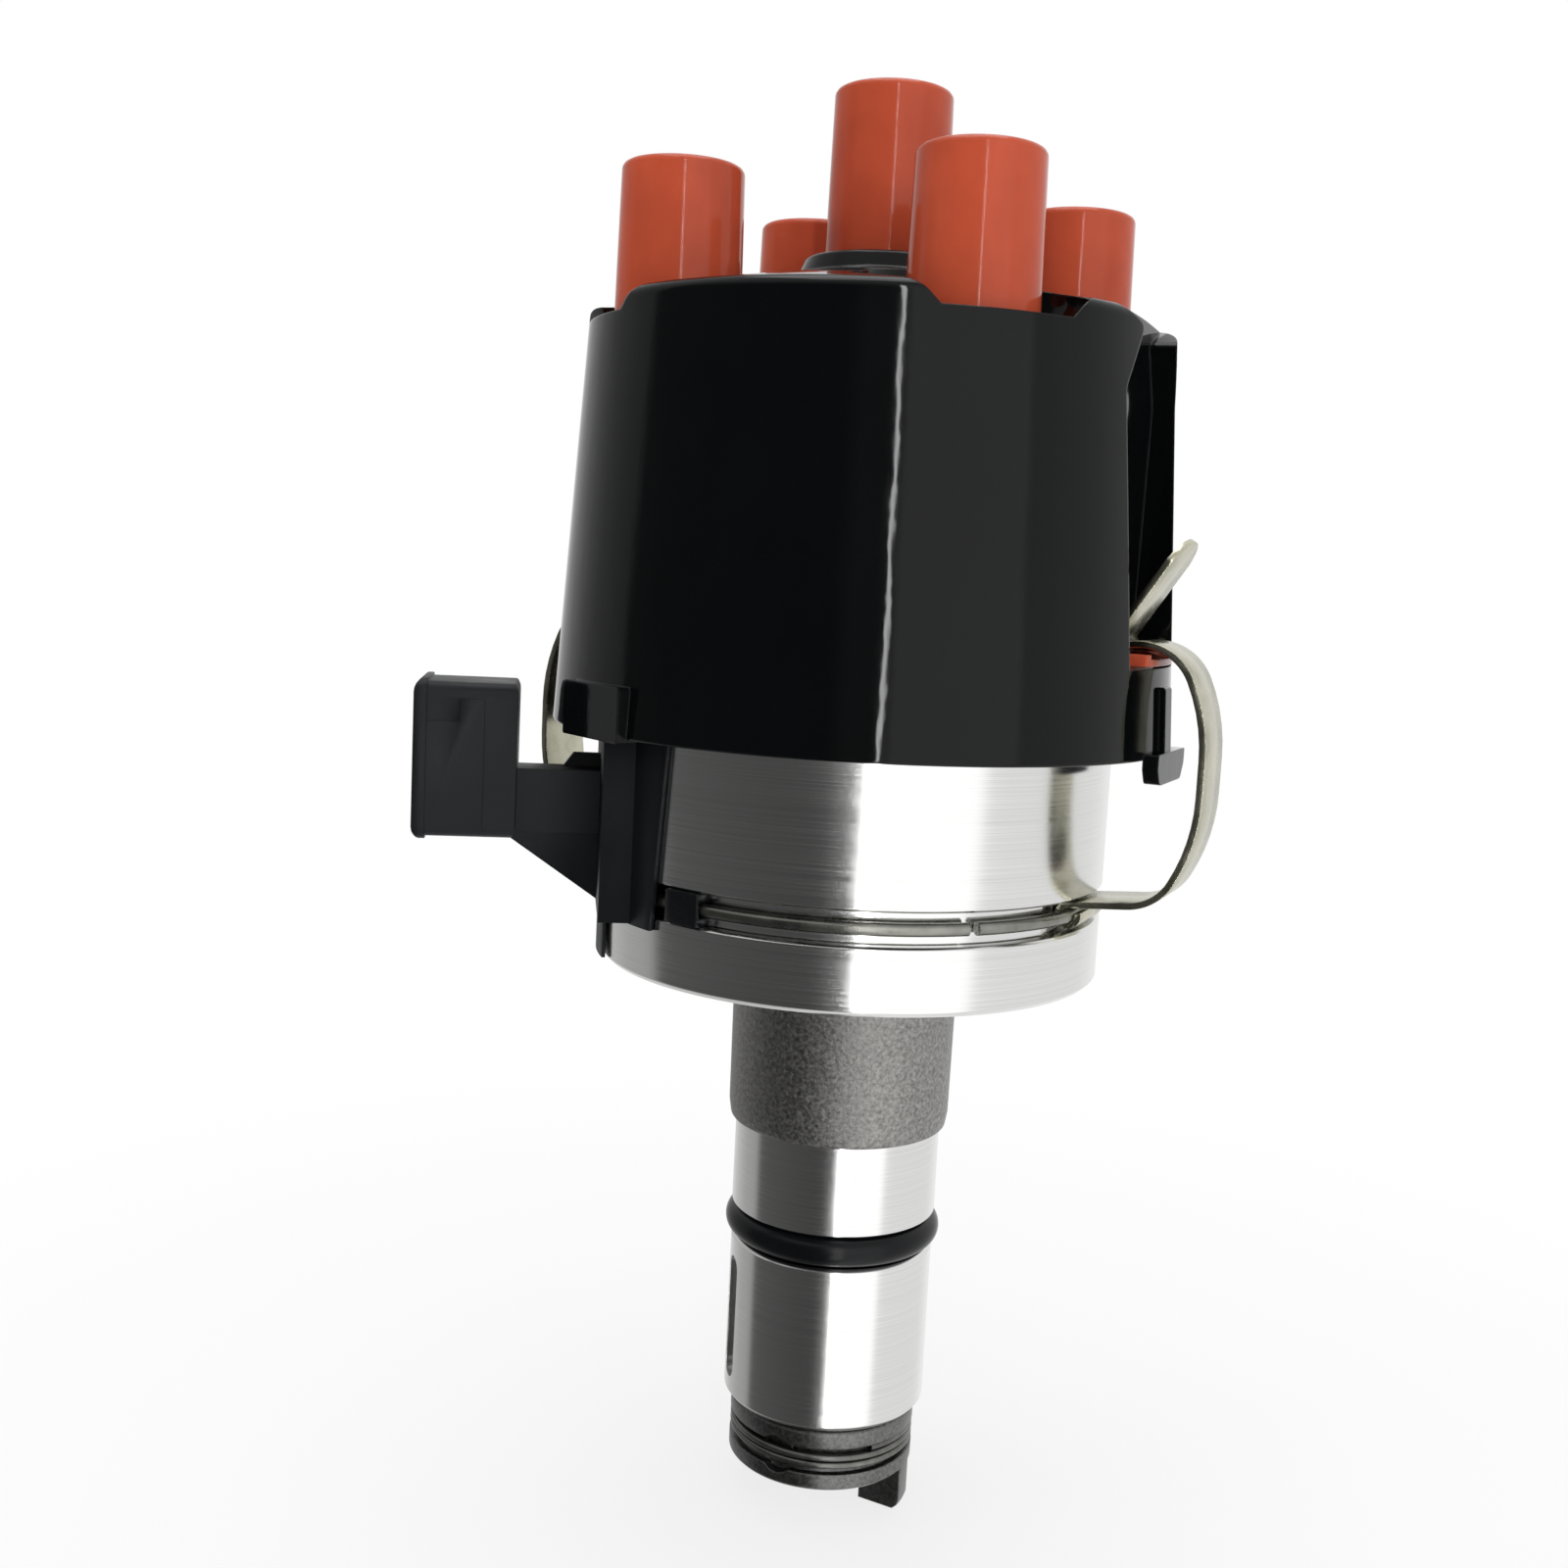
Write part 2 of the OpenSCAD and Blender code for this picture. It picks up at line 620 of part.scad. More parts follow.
// Cap moulding, open below, with the roots of the lead towers
module distributor_cap() {
    color([0.77, 0.33, 0.21]) difference() {
        union() {
            rotate_extrude() polygon([
                [0, z_cap], [bowl_r - edge, z_cap], [bowl_r - edge, z_cap + 2.4], [cap_r, z_cap + 3.4],
                [cap_r, z_shoulder - 1.5], [cap_r - 1.5, z_shoulder], [9.5, z_shoulder],
                [9.5, z_coil_seat], [0, z_coil_seat]]);
            for (i = [0:3]) at_angle(tower_angle + 90 * i, circle_r) {
                translate([0, 0, z_shoulder - 14]) cylinder(h = 14, r = root_r);
                translate([0, 0, z_shoulder - 22]) cylinder(h = 8, r1 = 3.4, r2 = root_r);
            }
            for (a = [clip_angle, clip_angle + 180]) at_angle(a) snap_ear();
        }
        translate([0, 0, z_cap - 1]) cylinder(h = z_step - z_cap + 1, r = cap_in_r);
        translate([0, 0, z_step - tiny]) cylinder(h = 1.5 + tiny, r1 = cap_in_r, r2 = cap_upper_r);
        translate([0, 0, z_step]) cylinder(h = z_roof - z_step, r = cap_upper_r);
        // Seats of the electrodes and the brush bore
        for (i = [0:3]) at_angle(tower_angle + 90 * i, circle_r)
            translate([0, 0, z_roof - stud_drop]) cylinder(h = roof_t + stud_drop + 1, r = electrode_r + press_gap);
        translate([0, 0, z_roof - 1]) cylinder(h = z_coil_seat - z_roof + 2, r = brush_bore_r);
    }
}

// Lead tower with its round socket, standing on the origin
module tower(h, foot_r, hole_r) {
    top_r = foot_r - tower_taper;
    color([0.77, 0.33, 0.21]) difference() {
        rotate_extrude() polygon([
            [0, 0], [foot_r, 0], [top_r, h - 0.9], [top_r - 0.25, h - 0.3], [top_r - 0.8, h], [0, h]]);
        translate([0, 0, h - socket_depth]) cylinder(h = socket_depth + 1, r = socket_r);
        translate([0, 0, h - 0.6]) cylinder(h = 0.6 + tiny, r1 = socket_r, r2 = socket_r + 0.6);
        translate([0, 0, -1]) cylinder(h = h, r = hole_r);
    }
}

module plug_tower(i) {
    at_angle(tower_angle + 90 * i, circle_r) translate([0, 0, z_shoulder]) tower(tower_h, tower_r, electrode_r + press_gap);
}

module lead_tower_1() {
    plug_tower(0);
}

module lead_tower_2() {
    plug_tower(1);
}

module lead_tower_3() {
    plug_tower(2);
}

module lead_tower_4() {
    plug_tower(3);
}

module coil_lead_tower() {
    translate([0, 0, z_coil_seat]) tower(z_coil - z_coil_seat, tower_r, brush_bore_r);
}

// Four brass studs, from the sockets down beside the rotor's path
module side_electrodes() {
    color([0.8, 0.65, 0.35]) for (i = [0:3]) at_angle(tower_angle + 90 * i, circle_r)
        translate([0, 0, z_roof - stud_drop]) cylinder(h = z_tower - socket_depth - z_roof + stud_drop, r = electrode_r);
}

// Brass stud of the coil lead, closed above the brush spring
module centre_electrode() {
    color([0.8, 0.65, 0.35]) translate([0, 0, brush_bore_top])
        cylinder(h = z_coil - socket_depth - brush_bore_top, r = brush_bore_r - press_gap);
}

// Solid outline of the screening cover, drawn in by an amount
module cover_outline(inset, z0) {
    drop = inset > 0 ? deck_t : 0;
    rotate_extrude() polygon([
        [0, z0], [cover_r_at(z0) - inset, z0],
        [cover_r_at(z_cover_rim - rim_round) - inset, z_cover_rim - rim_round - drop],
        [cover_top_r - rim_round - inset, z_cover_rim - drop],
        [boss_r - inset, z_deck_top - drop], [boss_top_r - inset, z_deck_top + boss_h - drop],
        [0, z_deck_top + boss_h - drop]]);
}

// Outline of a clip flute, seen from outside and grown by a wall
module flute_shape(grow) {
    half = flute_half_w + grow;
    polygon([
        [-half, z_sill - grow], [half, z_sill - grow], [half + 1.5, z_cover_rim - 9],
        [half - 2.3, z_cover_rim - 1.8], [half + 2.9, z_cover_rim + 0.5 - 2 * grow],
        [half + 2.9, z_cover_rim + 30], [-half - 2.9, z_cover_rim + 30],
        [-half - 2.9, z_cover_rim + 0.5 - 2 * grow], [2.3 - half, z_cover_rim - 1.8],
        [-half - 1.5, z_cover_rim - 9]]);
}

// Prism of the flute outline from a radius outwards, with +X radial
module flute(rho, grow) {
    translate([rho, 0, 0]) rotate([90, 0, 90]) linear_extrude(30) flute_shape(grow);
}

// Turned shape of a tower well, grown by a wall and reaching down to a level
module well(grow, z0) {
    rotate_extrude() polygon([
        [0, z0], [well_r - well_flare + grow, z0], [well_r - well_flare + grow, well_floor],
        [well_r + well_flare + grow, well_floor + 2.6], [well_r + well_flare + grow, z_deck_top + 9],
        [0, z_deck_top + 9]]);
}

// Space under the cover, round the flute linings and the well collars
module cover_cavity() {
    difference() {
        cover_outline(cover_wall, z_cover - 5);
        for (a = [clip_angle, clip_angle + 180]) at_angle(a) difference() {
            flute(flute_rho - flute_wall, flute_wall);
            block(0, 60, -flute_half_w + 0.3, flute_half_w - 0.3, z_cover - 5, z_window);
        }
        for (i = [0:3]) at_angle(tower_angle + 90 * i, circle_r) difference() {
            well(well_wall, z_shoulder);
            translate([0, 0, z_shoulder - 1]) cylinder(h = 9, r = well_r - well_flare - 0.2);
        }
    }
}

// Black cover over the cap, with wells for the towers and flutes for the clips
module screening_cover() {
    color([0.07, 0.07, 0.08]) difference() {
        union() {
            cover_outline(0, z_cover);
            for (a = [clip_angle, clip_angle + 180]) at_angle(a) sill_foot();
            locating_lug();
        }
        cover_cavity();
        for (a = [clip_angle, clip_angle + 180]) at_angle(a) flute(flute_rho, 0);
        for (i = [0:3]) at_angle(tower_angle + 90 * i, circle_r) {
            well(0, well_floor);
            translate([0, 0, z_shoulder]) cylinder(h = 10, r = tower_r + seat_gap);
        }
        translate([0, 0, z_shoulder]) cylinder(h = 40, r = tower_r + seat_gap);
    }
}

// Rib and foot below a clip window
module sill_foot() {
    foot_half = 6.5;
    foot_low = z_cover - 2.8;
    translate([cover_r - 0.6, 0, 0]) rotate([90, 0, 90]) linear_extrude(1.9) polygon([
        [1.3 - foot_half, foot_low], [foot_half - 1.3, foot_low], [foot_half, foot_low + 1.9],
        [foot_half, z_cover + 0.9], [-foot_half, z_cover + 0.9], [-foot_half, foot_low + 1.9]]);
    intersection() {
        block(cover_r - 3, cover_r + 3, -1.5, 1.5, z_cover, z_sill - 2.2);
        translate([0, 0, z_cover])
            cylinder(h = z_sill - z_cover, r1 = cover_r + 0.8, r2 = cover_r_at(z_sill) + 0.8);
    }
}

// Flat lug low on the cover beside the connector
module locating_lug() {
    at_angle(clip_angle - 118) block(cover_r - 2.5, cover_r + 0.8, -6.2, 6.2, z_cover - 0.4, z_cover + 6);
}

// Drive shaft, stepped for the rotor arm, with a keyed top and an oil pocket
module drive_shaft() {
    color([0.66, 0.67, 0.68]) difference() {
        union() {
            translate([0, 0, z_dog_low + 0.5]) cylinder(h = z_vane_top - z_dog_low - 0.5, r = shaft_r);
            cylinder(h = z_shaft, r = shaft_r - shaft_step);
        }
        translate([0, 0, z_shaft - 2.5]) cylinder(h = 5, r = 2.8);
        at_angle(rotor_angle) block(shaft_r - shaft_step - 1.4, shaft_r, -1.2, 1.2, z_shaft - 10, z_shaft + 1);
        translate([0, 0, z_pin]) rotate([0, 0, rotor_angle]) rotate([90, 0, 0])
            cylinder(h = 40, r = pin_r + 0.02, center = true);
        ring(shaft_r, shaft_r - shaft_step - 0.5, z_vane_top + 0.03, z_vane_top + 1.1);
    }
}

// Washers between the shank and the dog
module thrust_washers() {
    color([0.7, 0.7, 0.68]) ring(dog_r - 1.2, shaft_r + 0.1, z_dog + end_float / 2, z_dog + end_float / 2 + washer_t);
}

// Drive dog with two offset lugs and a groove for its retaining spring
module drive_dog() {
    color([0.43, 0.43, 0.43]) rotate([0, 0, rotor_angle]) difference() {
        union() {
            rotate_extrude() polygon([
                [0, z_dog_low], [dog_r - 0.4, z_dog_low], [dog_r, z_dog_low + 0.4],
                [dog_r, z_pin - coil_h / 2], [coil_groove_r, z_pin - coil_h / 2],
                [coil_groove_r, z_pin + coil_h / 2], [dog_r, z_pin + coil_h / 2],
                [dog_r, z_dog - 0.3], [dog_r - 0.3, z_dog], [0, z_dog]]);
            intersection() {
                translate([0, 0, z_dog_low - tang_h]) rotate_extrude() polygon([
                    [0, 0], [dog_r - 0.9, 0], [dog_r - 0.25, 0.6], [dog_r, 1.4], [dog_r, tang_h + 1], [0, tang_h + 1]]);
                for (s = [0, 1]) mirror([s, 0, 0])
                    block(tang_start, dog_r + 1, tang_offset - tang_w / 2, tang_offset + tang_w / 2,
                        z_dog_low - tang_h - 1, z_dog_low + 0.6);
            }
        }
        translate([0, 0, z_dog_low + 0.5]) cylinder(h = dog_h + 1, r = shaft_r + press_gap);
        translate([0, 0, z_pin]) rotate([90, 0, 0]) {
            cylinder(h = 40, r = pin_r + 0.02, center = true);
            for (s = [0, 1]) mirror([0, 0, s])
                translate([0, 0, coil_groove_r - 0.5]) cylinder(h = 5, r = pin_mouth_r);
        }
    }
}

// Cross pin, held in by the spring round the dog
module dog_pin() {
    color([0.55, 0.55, 0.55]) translate([0, 0, z_pin]) rotate([0, 0, rotor_angle]) rotate([90, 0, 0])
        cylinder(h = 2 * coil_groove_r - 0.8, r = pin_r, center = true);
}

// Wire wound along a helix, as a closed mesh of rings
module helix(mid_r, rod_r, pitch, loops, steps, sides) {
    rings = loops * steps;
    points = [for (i = [0:rings], j = [0:sides - 1])
        let (a = 360 * i / steps, b = 360 * j / sides, r = mid_r + rod_r * cos(b))
        [r * cos(a), r * sin(a), pitch * i / steps + rod_r * sin(b)]];
    skin = [for (i = [0:rings - 1], j = [0:sides - 1])
        let (k = (j + 1) % sides) [i * sides + j, i * sides + k, (i + 1) * sides + k, (i + 1) * sides + j]];
    polyhedron(points, concat([[for (j = [sides - 1:-1:0]) j]], skin, [[for (j = [0:sides - 1]) rings * sides + j]]));
}

// Flat coil round the dog, with its ends on the side away from the clip
module pin_retaining_spring() {
    color([0.4, 0.4, 0.38]) translate([0, 0, z_pin - turns * coil_pitch / 2]) rotate([0, 0, coil_start])
        helix(coil_mid_r, coil_wire_r - 0.02, coil_pitch, turns, 40, 8);
}

// Cup with four vanes that pass through the Hall unit
module trigger_vane() {
    out_r = vane_r + vane_t / 2;
    color([0.6, 0.61, 0.62]) {
        difference() {
            union() {
                translate([0, 0, z_vane_top - vane_t]) cylinder(h = vane_t, r = out_r);
                translate([0, 0, z_hub]) cylinder(h = z_vane_top - z_hub, r = hub_r);
                ring(out_r, out_r - vane_t, vane_low, z_vane_top);
            }
            translate([0, 0, z_hub - 1]) cylinder(h = 40, r = shaft_r + 0.02);
            for (i = [0:3]) at_angle(rotor_angle + 90 * i)
                ring_part(out_r + 1, out_r - vane_t - 1, vane_low - 1, z_vane_top - vane_t - 1.2, window_arc);
        }
    }
}

// Snap ring that keeps the vane cup down
module vane_circlip() {
    color([0.35, 0.35, 0.36]) difference() {
        ring(shaft_r + 1.6, shaft_r - shaft_step - 0.4, z_vane_top + 0.05, z_vane_top + 1.05);
        at_angle(rotor_angle + 90) block(0, 20, -2, 2, z_vane_top, z_vane_top + 3);
    }
}

// Rotor arm: hub over the shaft, arm to the tip and a short tail opposite
module rotor_arm() {
    bore_r = shaft_r - shaft_step + slip_fit;
    low = z_rim - 1;
    color([0.55, 0.13, 0.1]) rotate([0, 0, rotor_angle]) difference() {
        union() {
            translate([0, 0, low]) cylinder(h = z_shaft - low + 3, r1 = hub_r, r2 = hub_r - 0.6);
            translate([0, 0, z_shaft + 3]) cylinder(h = z_rotor - z_shaft - 3, r = hub_r + 1.4);
            block(0, tip_r - 5, -5, 5, z_rotor - 7, z_rotor);
            block(-15, 0, -6.5, 6.5, z_rotor - 6, z_rotor - 1);
            block(0, tip_r - 5.5, -1.2, 1.2, z_shaft + 3, z_rotor - 6.5);
        }
        translate([0, 0, low - 1]) cylinder(h = z_shaft - low + 1.2, r = bore_r);
        translate([0, 0, z_rotor - contact_t]) {
            block(-3, 40, -2.6, 2.6, 0, 2);
            cylinder(h = 2, r = 4.5);
        }
    }
    // Key that fits the shaft's slot
    color([0.55, 0.13, 0.1]) at_angle(rotor_angle)
        block(shaft_r - shaft_step - 1.2, bore_r + 0.4, -1.1, 1.1, z_shaft - 9.6, z_shaft + 0.1);
}

// Brass blade with a broad tip and a raised centre for the brush
module rotor_contact() {
    color([0.82, 0.68, 0.35]) rotate([0, 0, rotor_angle]) {
        intersection() {
            block(0, tip_r, -2.5, 2.5, z_rotor - contact_t, z_rotor);
            translate([0, 0, z_rotor - contact_t]) cylinder(h = contact_t, r = tip_r);
        }
        translate([0, 0, z_rotor - contact_t]) cylinder(h = 2 * contact_t, r = 4.3);
        ring_part(tip_r, tip_r - 1.6, z_rotor - 5, z_rotor, 24);
        ring_part(tip_r, tip_r - 4.6, z_rotor - contact_t, z_rotor, 24);
    }
}

// Felt wick in the top of the shaft
module felt_pad() {
    color([0.75, 0.72, 0.62]) translate([0, 0, z_shaft - 2.5]) cylinder(h = 2.4, r = 2.7);
}

// Points along one edge of the strip, offset to the left by an amount
function run_points(s, run, offset) = run[0] == 0
    ? [[s[0] - offset * sin(s[2]), s[1] + offset * cos(s[2])]]
    : let (steps = max(2, ceil(abs(run[1]) / 5)))
      [for (i = [0:steps - 1]) let (p = run_end(s, [run[0], run[1] * i / steps]))
        [p[0] - offset * sin(p[2]), p[1] + offset * cos(p[2])]];
function edge_points(offset) = concat(
    [for (i = [0:len(clip_runs) - 1]) each run_points(clip_starts[i], clip_runs[i], offset)],
    run_points(last(clip_starts), [0, 0], offset));
function reversed(list) = [for (i = [len(list) - 1:-1:0]) list[i]];

// Sprung clip with a rolled eye, a bow, a snap bend and a finger tab
module spring_clip(a) {
    tab = last(clip_starts);
    color([0.68, 0.67, 0.58]) at_angle(a) rotate([90, 0, 0]) difference() {
        translate([0, 0, -strip_w / 2]) linear_extrude(strip_w)
            polygon(concat(edge_points(-strip_t / 2), reversed(edge_points(strip_t / 2))));
        translate([tab[0], tab[1], 0]) rotate([0, 0, tab_angle]) tab_corners();
    }
}

// What is cut away round the end of a tab that lies along -X and ends at the origin
module tab_corners() {
    round_r = strip_w / 2 + 0.45;
    translate([-round_r, 0, 0]) difference() {
        block(1, round_r + 1, -2, 2, -strip_w, strip_w);
        rotate([90, 0, 0]) cylinder(h = 6, r = round_r, center = true);
    }
}

module spring_clip_1() {
    spring_clip(clip_angle);
}

module spring_clip_2() {
    spring_clip(clip_angle + 180);
}

// Carbon brush that bears on the rotor contact
module carbon_brush() {
    color([0.15, 0.15, 0.16]) translate([0, 0, z_brush]) cylinder(h = brush_len, r = brush_r);
}

// Small compression spring above the brush
module brush_spring() {
    rest = brush_bore_top - z_brush - brush_len - 2 * spring_wire_r - 0.1;
    color([0.7, 0.7, 0.7]) translate([0, 0, z_brush + brush_len + spring_wire_r + 0.05])
        helix(brush_r - 0.5, spring_wire_r, rest / 4, 4, 16, 6);
}

housing();
shank_seal_ring();
upper_bush();
lower_bush();
hall_base_plate();
hall_sensor();
hall_magnet();
plate_screws();
hall_connector();
connector_pins();
groove_plug();
clip_ring_wire();
dust_cover();
distributor_cap();
lead_tower_1();
lead_tower_2();
lead_tower_3();
lead_tower_4();
coil_lead_tower();
side_electrodes();
centre_electrode();
screening_cover();
drive_shaft();
thrust_washers();
drive_dog();
dog_pin();
pin_retaining_spring();
trigger_vane();
vane_circlip();
rotor_arm();
rotor_contact();
felt_pad();
spring_clip_1();
spring_clip_2();
carbon_brush();
brush_spring();
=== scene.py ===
"""Ignition distributor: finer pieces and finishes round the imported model, in a plain studio."""
import json
import math

import bmesh
import bpy
from mathutils import Matrix, Vector


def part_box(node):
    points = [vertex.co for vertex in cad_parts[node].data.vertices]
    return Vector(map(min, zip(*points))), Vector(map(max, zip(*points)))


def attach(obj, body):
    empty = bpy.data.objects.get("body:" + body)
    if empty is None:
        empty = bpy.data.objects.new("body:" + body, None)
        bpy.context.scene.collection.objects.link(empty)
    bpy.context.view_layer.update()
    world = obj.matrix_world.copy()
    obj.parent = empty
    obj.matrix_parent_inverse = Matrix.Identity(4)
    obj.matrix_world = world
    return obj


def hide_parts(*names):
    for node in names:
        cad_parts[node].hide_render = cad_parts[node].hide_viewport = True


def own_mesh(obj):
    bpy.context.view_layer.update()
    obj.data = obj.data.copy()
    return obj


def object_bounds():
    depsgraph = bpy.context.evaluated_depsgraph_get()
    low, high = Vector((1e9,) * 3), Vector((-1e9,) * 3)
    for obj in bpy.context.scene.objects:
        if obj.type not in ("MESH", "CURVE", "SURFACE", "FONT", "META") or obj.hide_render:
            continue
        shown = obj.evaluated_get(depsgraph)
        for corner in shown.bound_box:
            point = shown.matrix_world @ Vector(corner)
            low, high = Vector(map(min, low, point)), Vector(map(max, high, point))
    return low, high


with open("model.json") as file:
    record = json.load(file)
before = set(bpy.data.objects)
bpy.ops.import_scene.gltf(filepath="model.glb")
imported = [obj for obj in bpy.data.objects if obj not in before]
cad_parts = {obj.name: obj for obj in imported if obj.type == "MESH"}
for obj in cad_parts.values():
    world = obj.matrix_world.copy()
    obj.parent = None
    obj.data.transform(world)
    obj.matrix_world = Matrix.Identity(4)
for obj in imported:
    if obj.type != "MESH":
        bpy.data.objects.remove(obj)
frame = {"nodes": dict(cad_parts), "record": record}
cad_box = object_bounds()
bpy.context.scene.view_settings.view_transform = "Standard"

MM = 0.001
SLOTS = {part["node"]: part["material_slot"] for part in frame["record"]["subparts"]}
BODIES = {node: body for body, nodes in frame["record"]["behaviour"]["bodies"].items() for node in nodes}

# Camera, as fitted to the photograph: lens and sensor in millimetres, the rest in metres
LENS = 39.88
SENSOR = 36
NEAREST = 0.01
FARTHEST = 20
EYE = Vector((-38.97, -220.99, 72.46)) * MM
RIGHT = Vector((0.99077, -0.12586, 0.05029))
UP = Vector((-0.03360, 0.13140, 0.99076))
BACK = Vector((-0.13130, -0.98331, 0.12595))

# Sizes are in millimetres and degrees where no other unit is named
# Heights start at the shoulder between the shank and the neck

# Corner radii that many edges share
FINE = 0.1
SOFT = 0.2
ROUND = 0.3

# Shank, with the groove of its seal ring and its oil slot
SHANK_R = 13.5
LAND_R = 13.4
BORE_R = 8.0
SHANK_END = -37.9
END_CHAMFER_R = 0.5
END_CHAMFER_H = 0.6
SEAL_TOP = -11.9
SEAL_LOW = -16.1
SEAL_FLOOR_R = 10.3
SEAL_CHAMFER = 0.4
SLOT_ANGLE = 189
SLOT_MIDDLE = -27.1
SLOT_REACH = 6.7
SLOT_HALF = 1.6
SLOT_DEPTH = 2.4
SLOT_CUTTER = 10

# Neck, with a little draft between its foot and its fillet
NECK_R = 14.4
NECK_FOOT_IN = 0.2
NECK_FOOT_H = 2.0
NECK_FOOT_ROUND = 0.5
NECK_DRAFT_LOW = 0.1
NECK_DRAFT_TOP = 0.25
NECK_FILLET = 1.6
NECK_FILLET_ROUND = 0.8
NECK_OUTER_R = 17

# Flange and bowl, with the groove between them
FLANGE_R = 32.2
FLANGE_LOW = 21.8
FLANGE_CHAMFER = 0.6
FLANGE_ROUND = 0.15
GROOVE_R = 30.3
GROOVE_LOW = 30.0
GROOVE_TOP = 34.0
GROOVE_EDGE = 0.3
BOWL_R = 32.3
BOWL_IN_R = 29.5
BOWL_FLOOR = 36.0
BOWL_FLOOR_ROUND = 1.0
RIM = 53.0
RIM_CHAMFER = 0.5

# Flats across the groove, where the clips turn on the ring wire
CLIP_ANGLE = -33.0
CLIP_ANGLES = (CLIP_ANGLE, CLIP_ANGLE + 180)
FLAT_RHO = (28.85, 40)
FLAT_HALF = 32
FLAT_ROOM = 0.02

# Way through the bowl's wall behind the connector
LEAD_WAY_ANGLE = 180
LEAD_WAY_RHO = (25, 36)
LEAD_WAY_HALF = 6
LEAD_WAY_HEIGHTS = (37.8, 44.4)

# Lead towers on the cap, and their sockets
CAP_SHOULDER = 98.0
TOWER_TOP = 118.9
COIL_SEAT = 104.0
COIL_TOP = 130.9
TOWER_R = 7.7
TOWER_TAPER = 0.35
TOWER_ROUND = 0.9
TOWER_ANGLE = 12.0
CIRCLE_R = 26.6
SOCKET_R = 4.0
SOCKET_CHAMFER = 0.6
SOCKET_DEPTH = 16.0

# Screening cover: its tapered side, its deck and the boss round the coil tower
COVER_LOW = 51.6
COVER_R = 39.4
COVER_TOP_R = 36.4
COVER_RIM = 102.9
COVER_WALL = 1.5
HEM_ROUND = 0.35
RIM_ROUND = 1.6
RIM_SLOPE = 1.2
DECK_TOP = 108.0
DECK_WALL = 2.0
DECK_ROUND = 0.8
BOSS_R = 11.0
BOSS_TOP_R = 10.0
BOSS_H = 2.3
BOSS_ROUND = 0.7
INSIDE_ROUND = 1.0

# Flute of a clip, by its offsets from the half width at the sill and from the rim, and its window
SILL = 62.3
WINDOW_TOP = 66.6
JAMB = 0.3
FLUTE_RHO = 32.2
FLUTE_HALF = 10.1
FLUTE_WALL = 1.4
SWELL = 1.5
SWELL_DROP = 9
SWELL_ROUND = 3.0
WAIST = 2.3
WAIST_DROP = 1.8
WAIST_ROUND = 0.8
MOUTH = 2.9
MOUTH_RISE = 0.5

# Wells round the plug lead towers
WELL_R = 12.6
WELL_FLARE = 0.6
WELL_FLOOR = 100.45
WELL_LIP = 2.6
WELL_WALL = 1.2
COLLAR_LIP = 0.2
TOWER_ROOM = 0.3

# Foot and rib below each window, and the locating lug
FOOT_HALF = 6.5
FOOT_END_HALF = 5.2
FOOT_DROP = 2.8
FOOT_STEP = 0.9
FOOT_ROUND = 0.9
FOOT_END_ROUND = 1.2
FOOT_ROOT = 0.6
FOOT_OUT = 1.3
RIB_HALF = 1.5
RIB_ROOT = 3
RIB_OUT = 0.8
RIB_LIFT = 0.2
RIB_TOP = SILL - 2.2
LUG_ANGLE = CLIP_ANGLE - 118
LUG_HALF = 6.2
LUG_DROP = 0.4
LUG_H = 6
LUG_ROOT = 2.5
LUG_OUT = 0.8
STUB_ROUND = 0.4

# Heights below and above the cover at which its cutters end, and how far they reach to the side
PAST_LOW = COVER_LOW - 5
PAST_TOP = DECK_TOP + 9
PAST_SIDE = 30

# Coil round the dog, and the brush spring
DOG_COIL_TURNS = 2.6
DOG_COIL_R = 11.86
DOG_COIL_PITCH = 1.0
DOG_WIRE_R = 0.46
DOG_COIL_START = 150
BRUSH_COIL_TURNS = 6
BRUSH_COIL_R = 1.8
BRUSH_WIRE_R = 0.28
BRUSH_COIL_ROOM = 0.3
COIL_STEPS = 72
WIRE_SIDES = 14

# Tab below the connector's saddle: where it ends in CAD, and how much further it reaches here
TAB_LOW = 25.6
TAB_REACH = 3.4

# Nodes whose CAD form is kept, with the width by which their edges are rounded
KEPT = {
    "distributor_cap": 0.3, "hall_connector": 0.25, "groove_plug": 0.2, "spring_clip_1": 0.12,
    "spring_clip_2": 0.12, "drive_dog": 0.2, "clip_ring_wire": 0, "shank_seal_ring": 0}

# Steps in a full turn and in a rounded corner, and the step round the slot's ends in degrees
FINE_STEPS = 288
TOWER_STEPS = 128
COARSE_STEPS = 96
CORNER_STEPS = 4
COVER_CORNER_STEPS = 6
SLOT_STEP = 15
BEVEL_SEGMENTS = 2

# Edges sharper than these angles stay sharp
CREASE = 32
HOUSING_CREASE = 28
COVER_CREASE = 30
COIL_CREASE = 40

# Limits in metres, and an angle in degrees, within which a mesh is merged
MERGE_GAP = 1e-6
WELD_GAP = 2e-6
FLAT_ANGLE = 0.4


def add_camera():
    """The photograph's own point of view."""
    data = bpy.data.cameras.new("camera")
    data.lens = LENS
    data.sensor_width = SENSOR
    data.clip_start = NEAREST
    data.clip_end = FARTHEST
    camera = bpy.data.objects.new("camera", data)
    bpy.context.scene.collection.objects.link(camera)
    turn = Matrix((RIGHT, UP, BACK)).transposed().to_4x4()
    camera.matrix_world = Matrix.Translation(EYE) @ turn
    bpy.context.scene.camera = camera


add_camera()


# Meshes

def new_piece(name, mesh):
    piece = bpy.data.objects.new(name, mesh)
    bpy.context.scene.collection.objects.link(piece)
    return piece


def from_points(name, points, faces):
    mesh = bpy.data.meshes.new(name)
    mesh.from_pydata([Vector(p) * MM for p in points], [], faces)
    mesh.update()
    return new_piece(name, mesh)


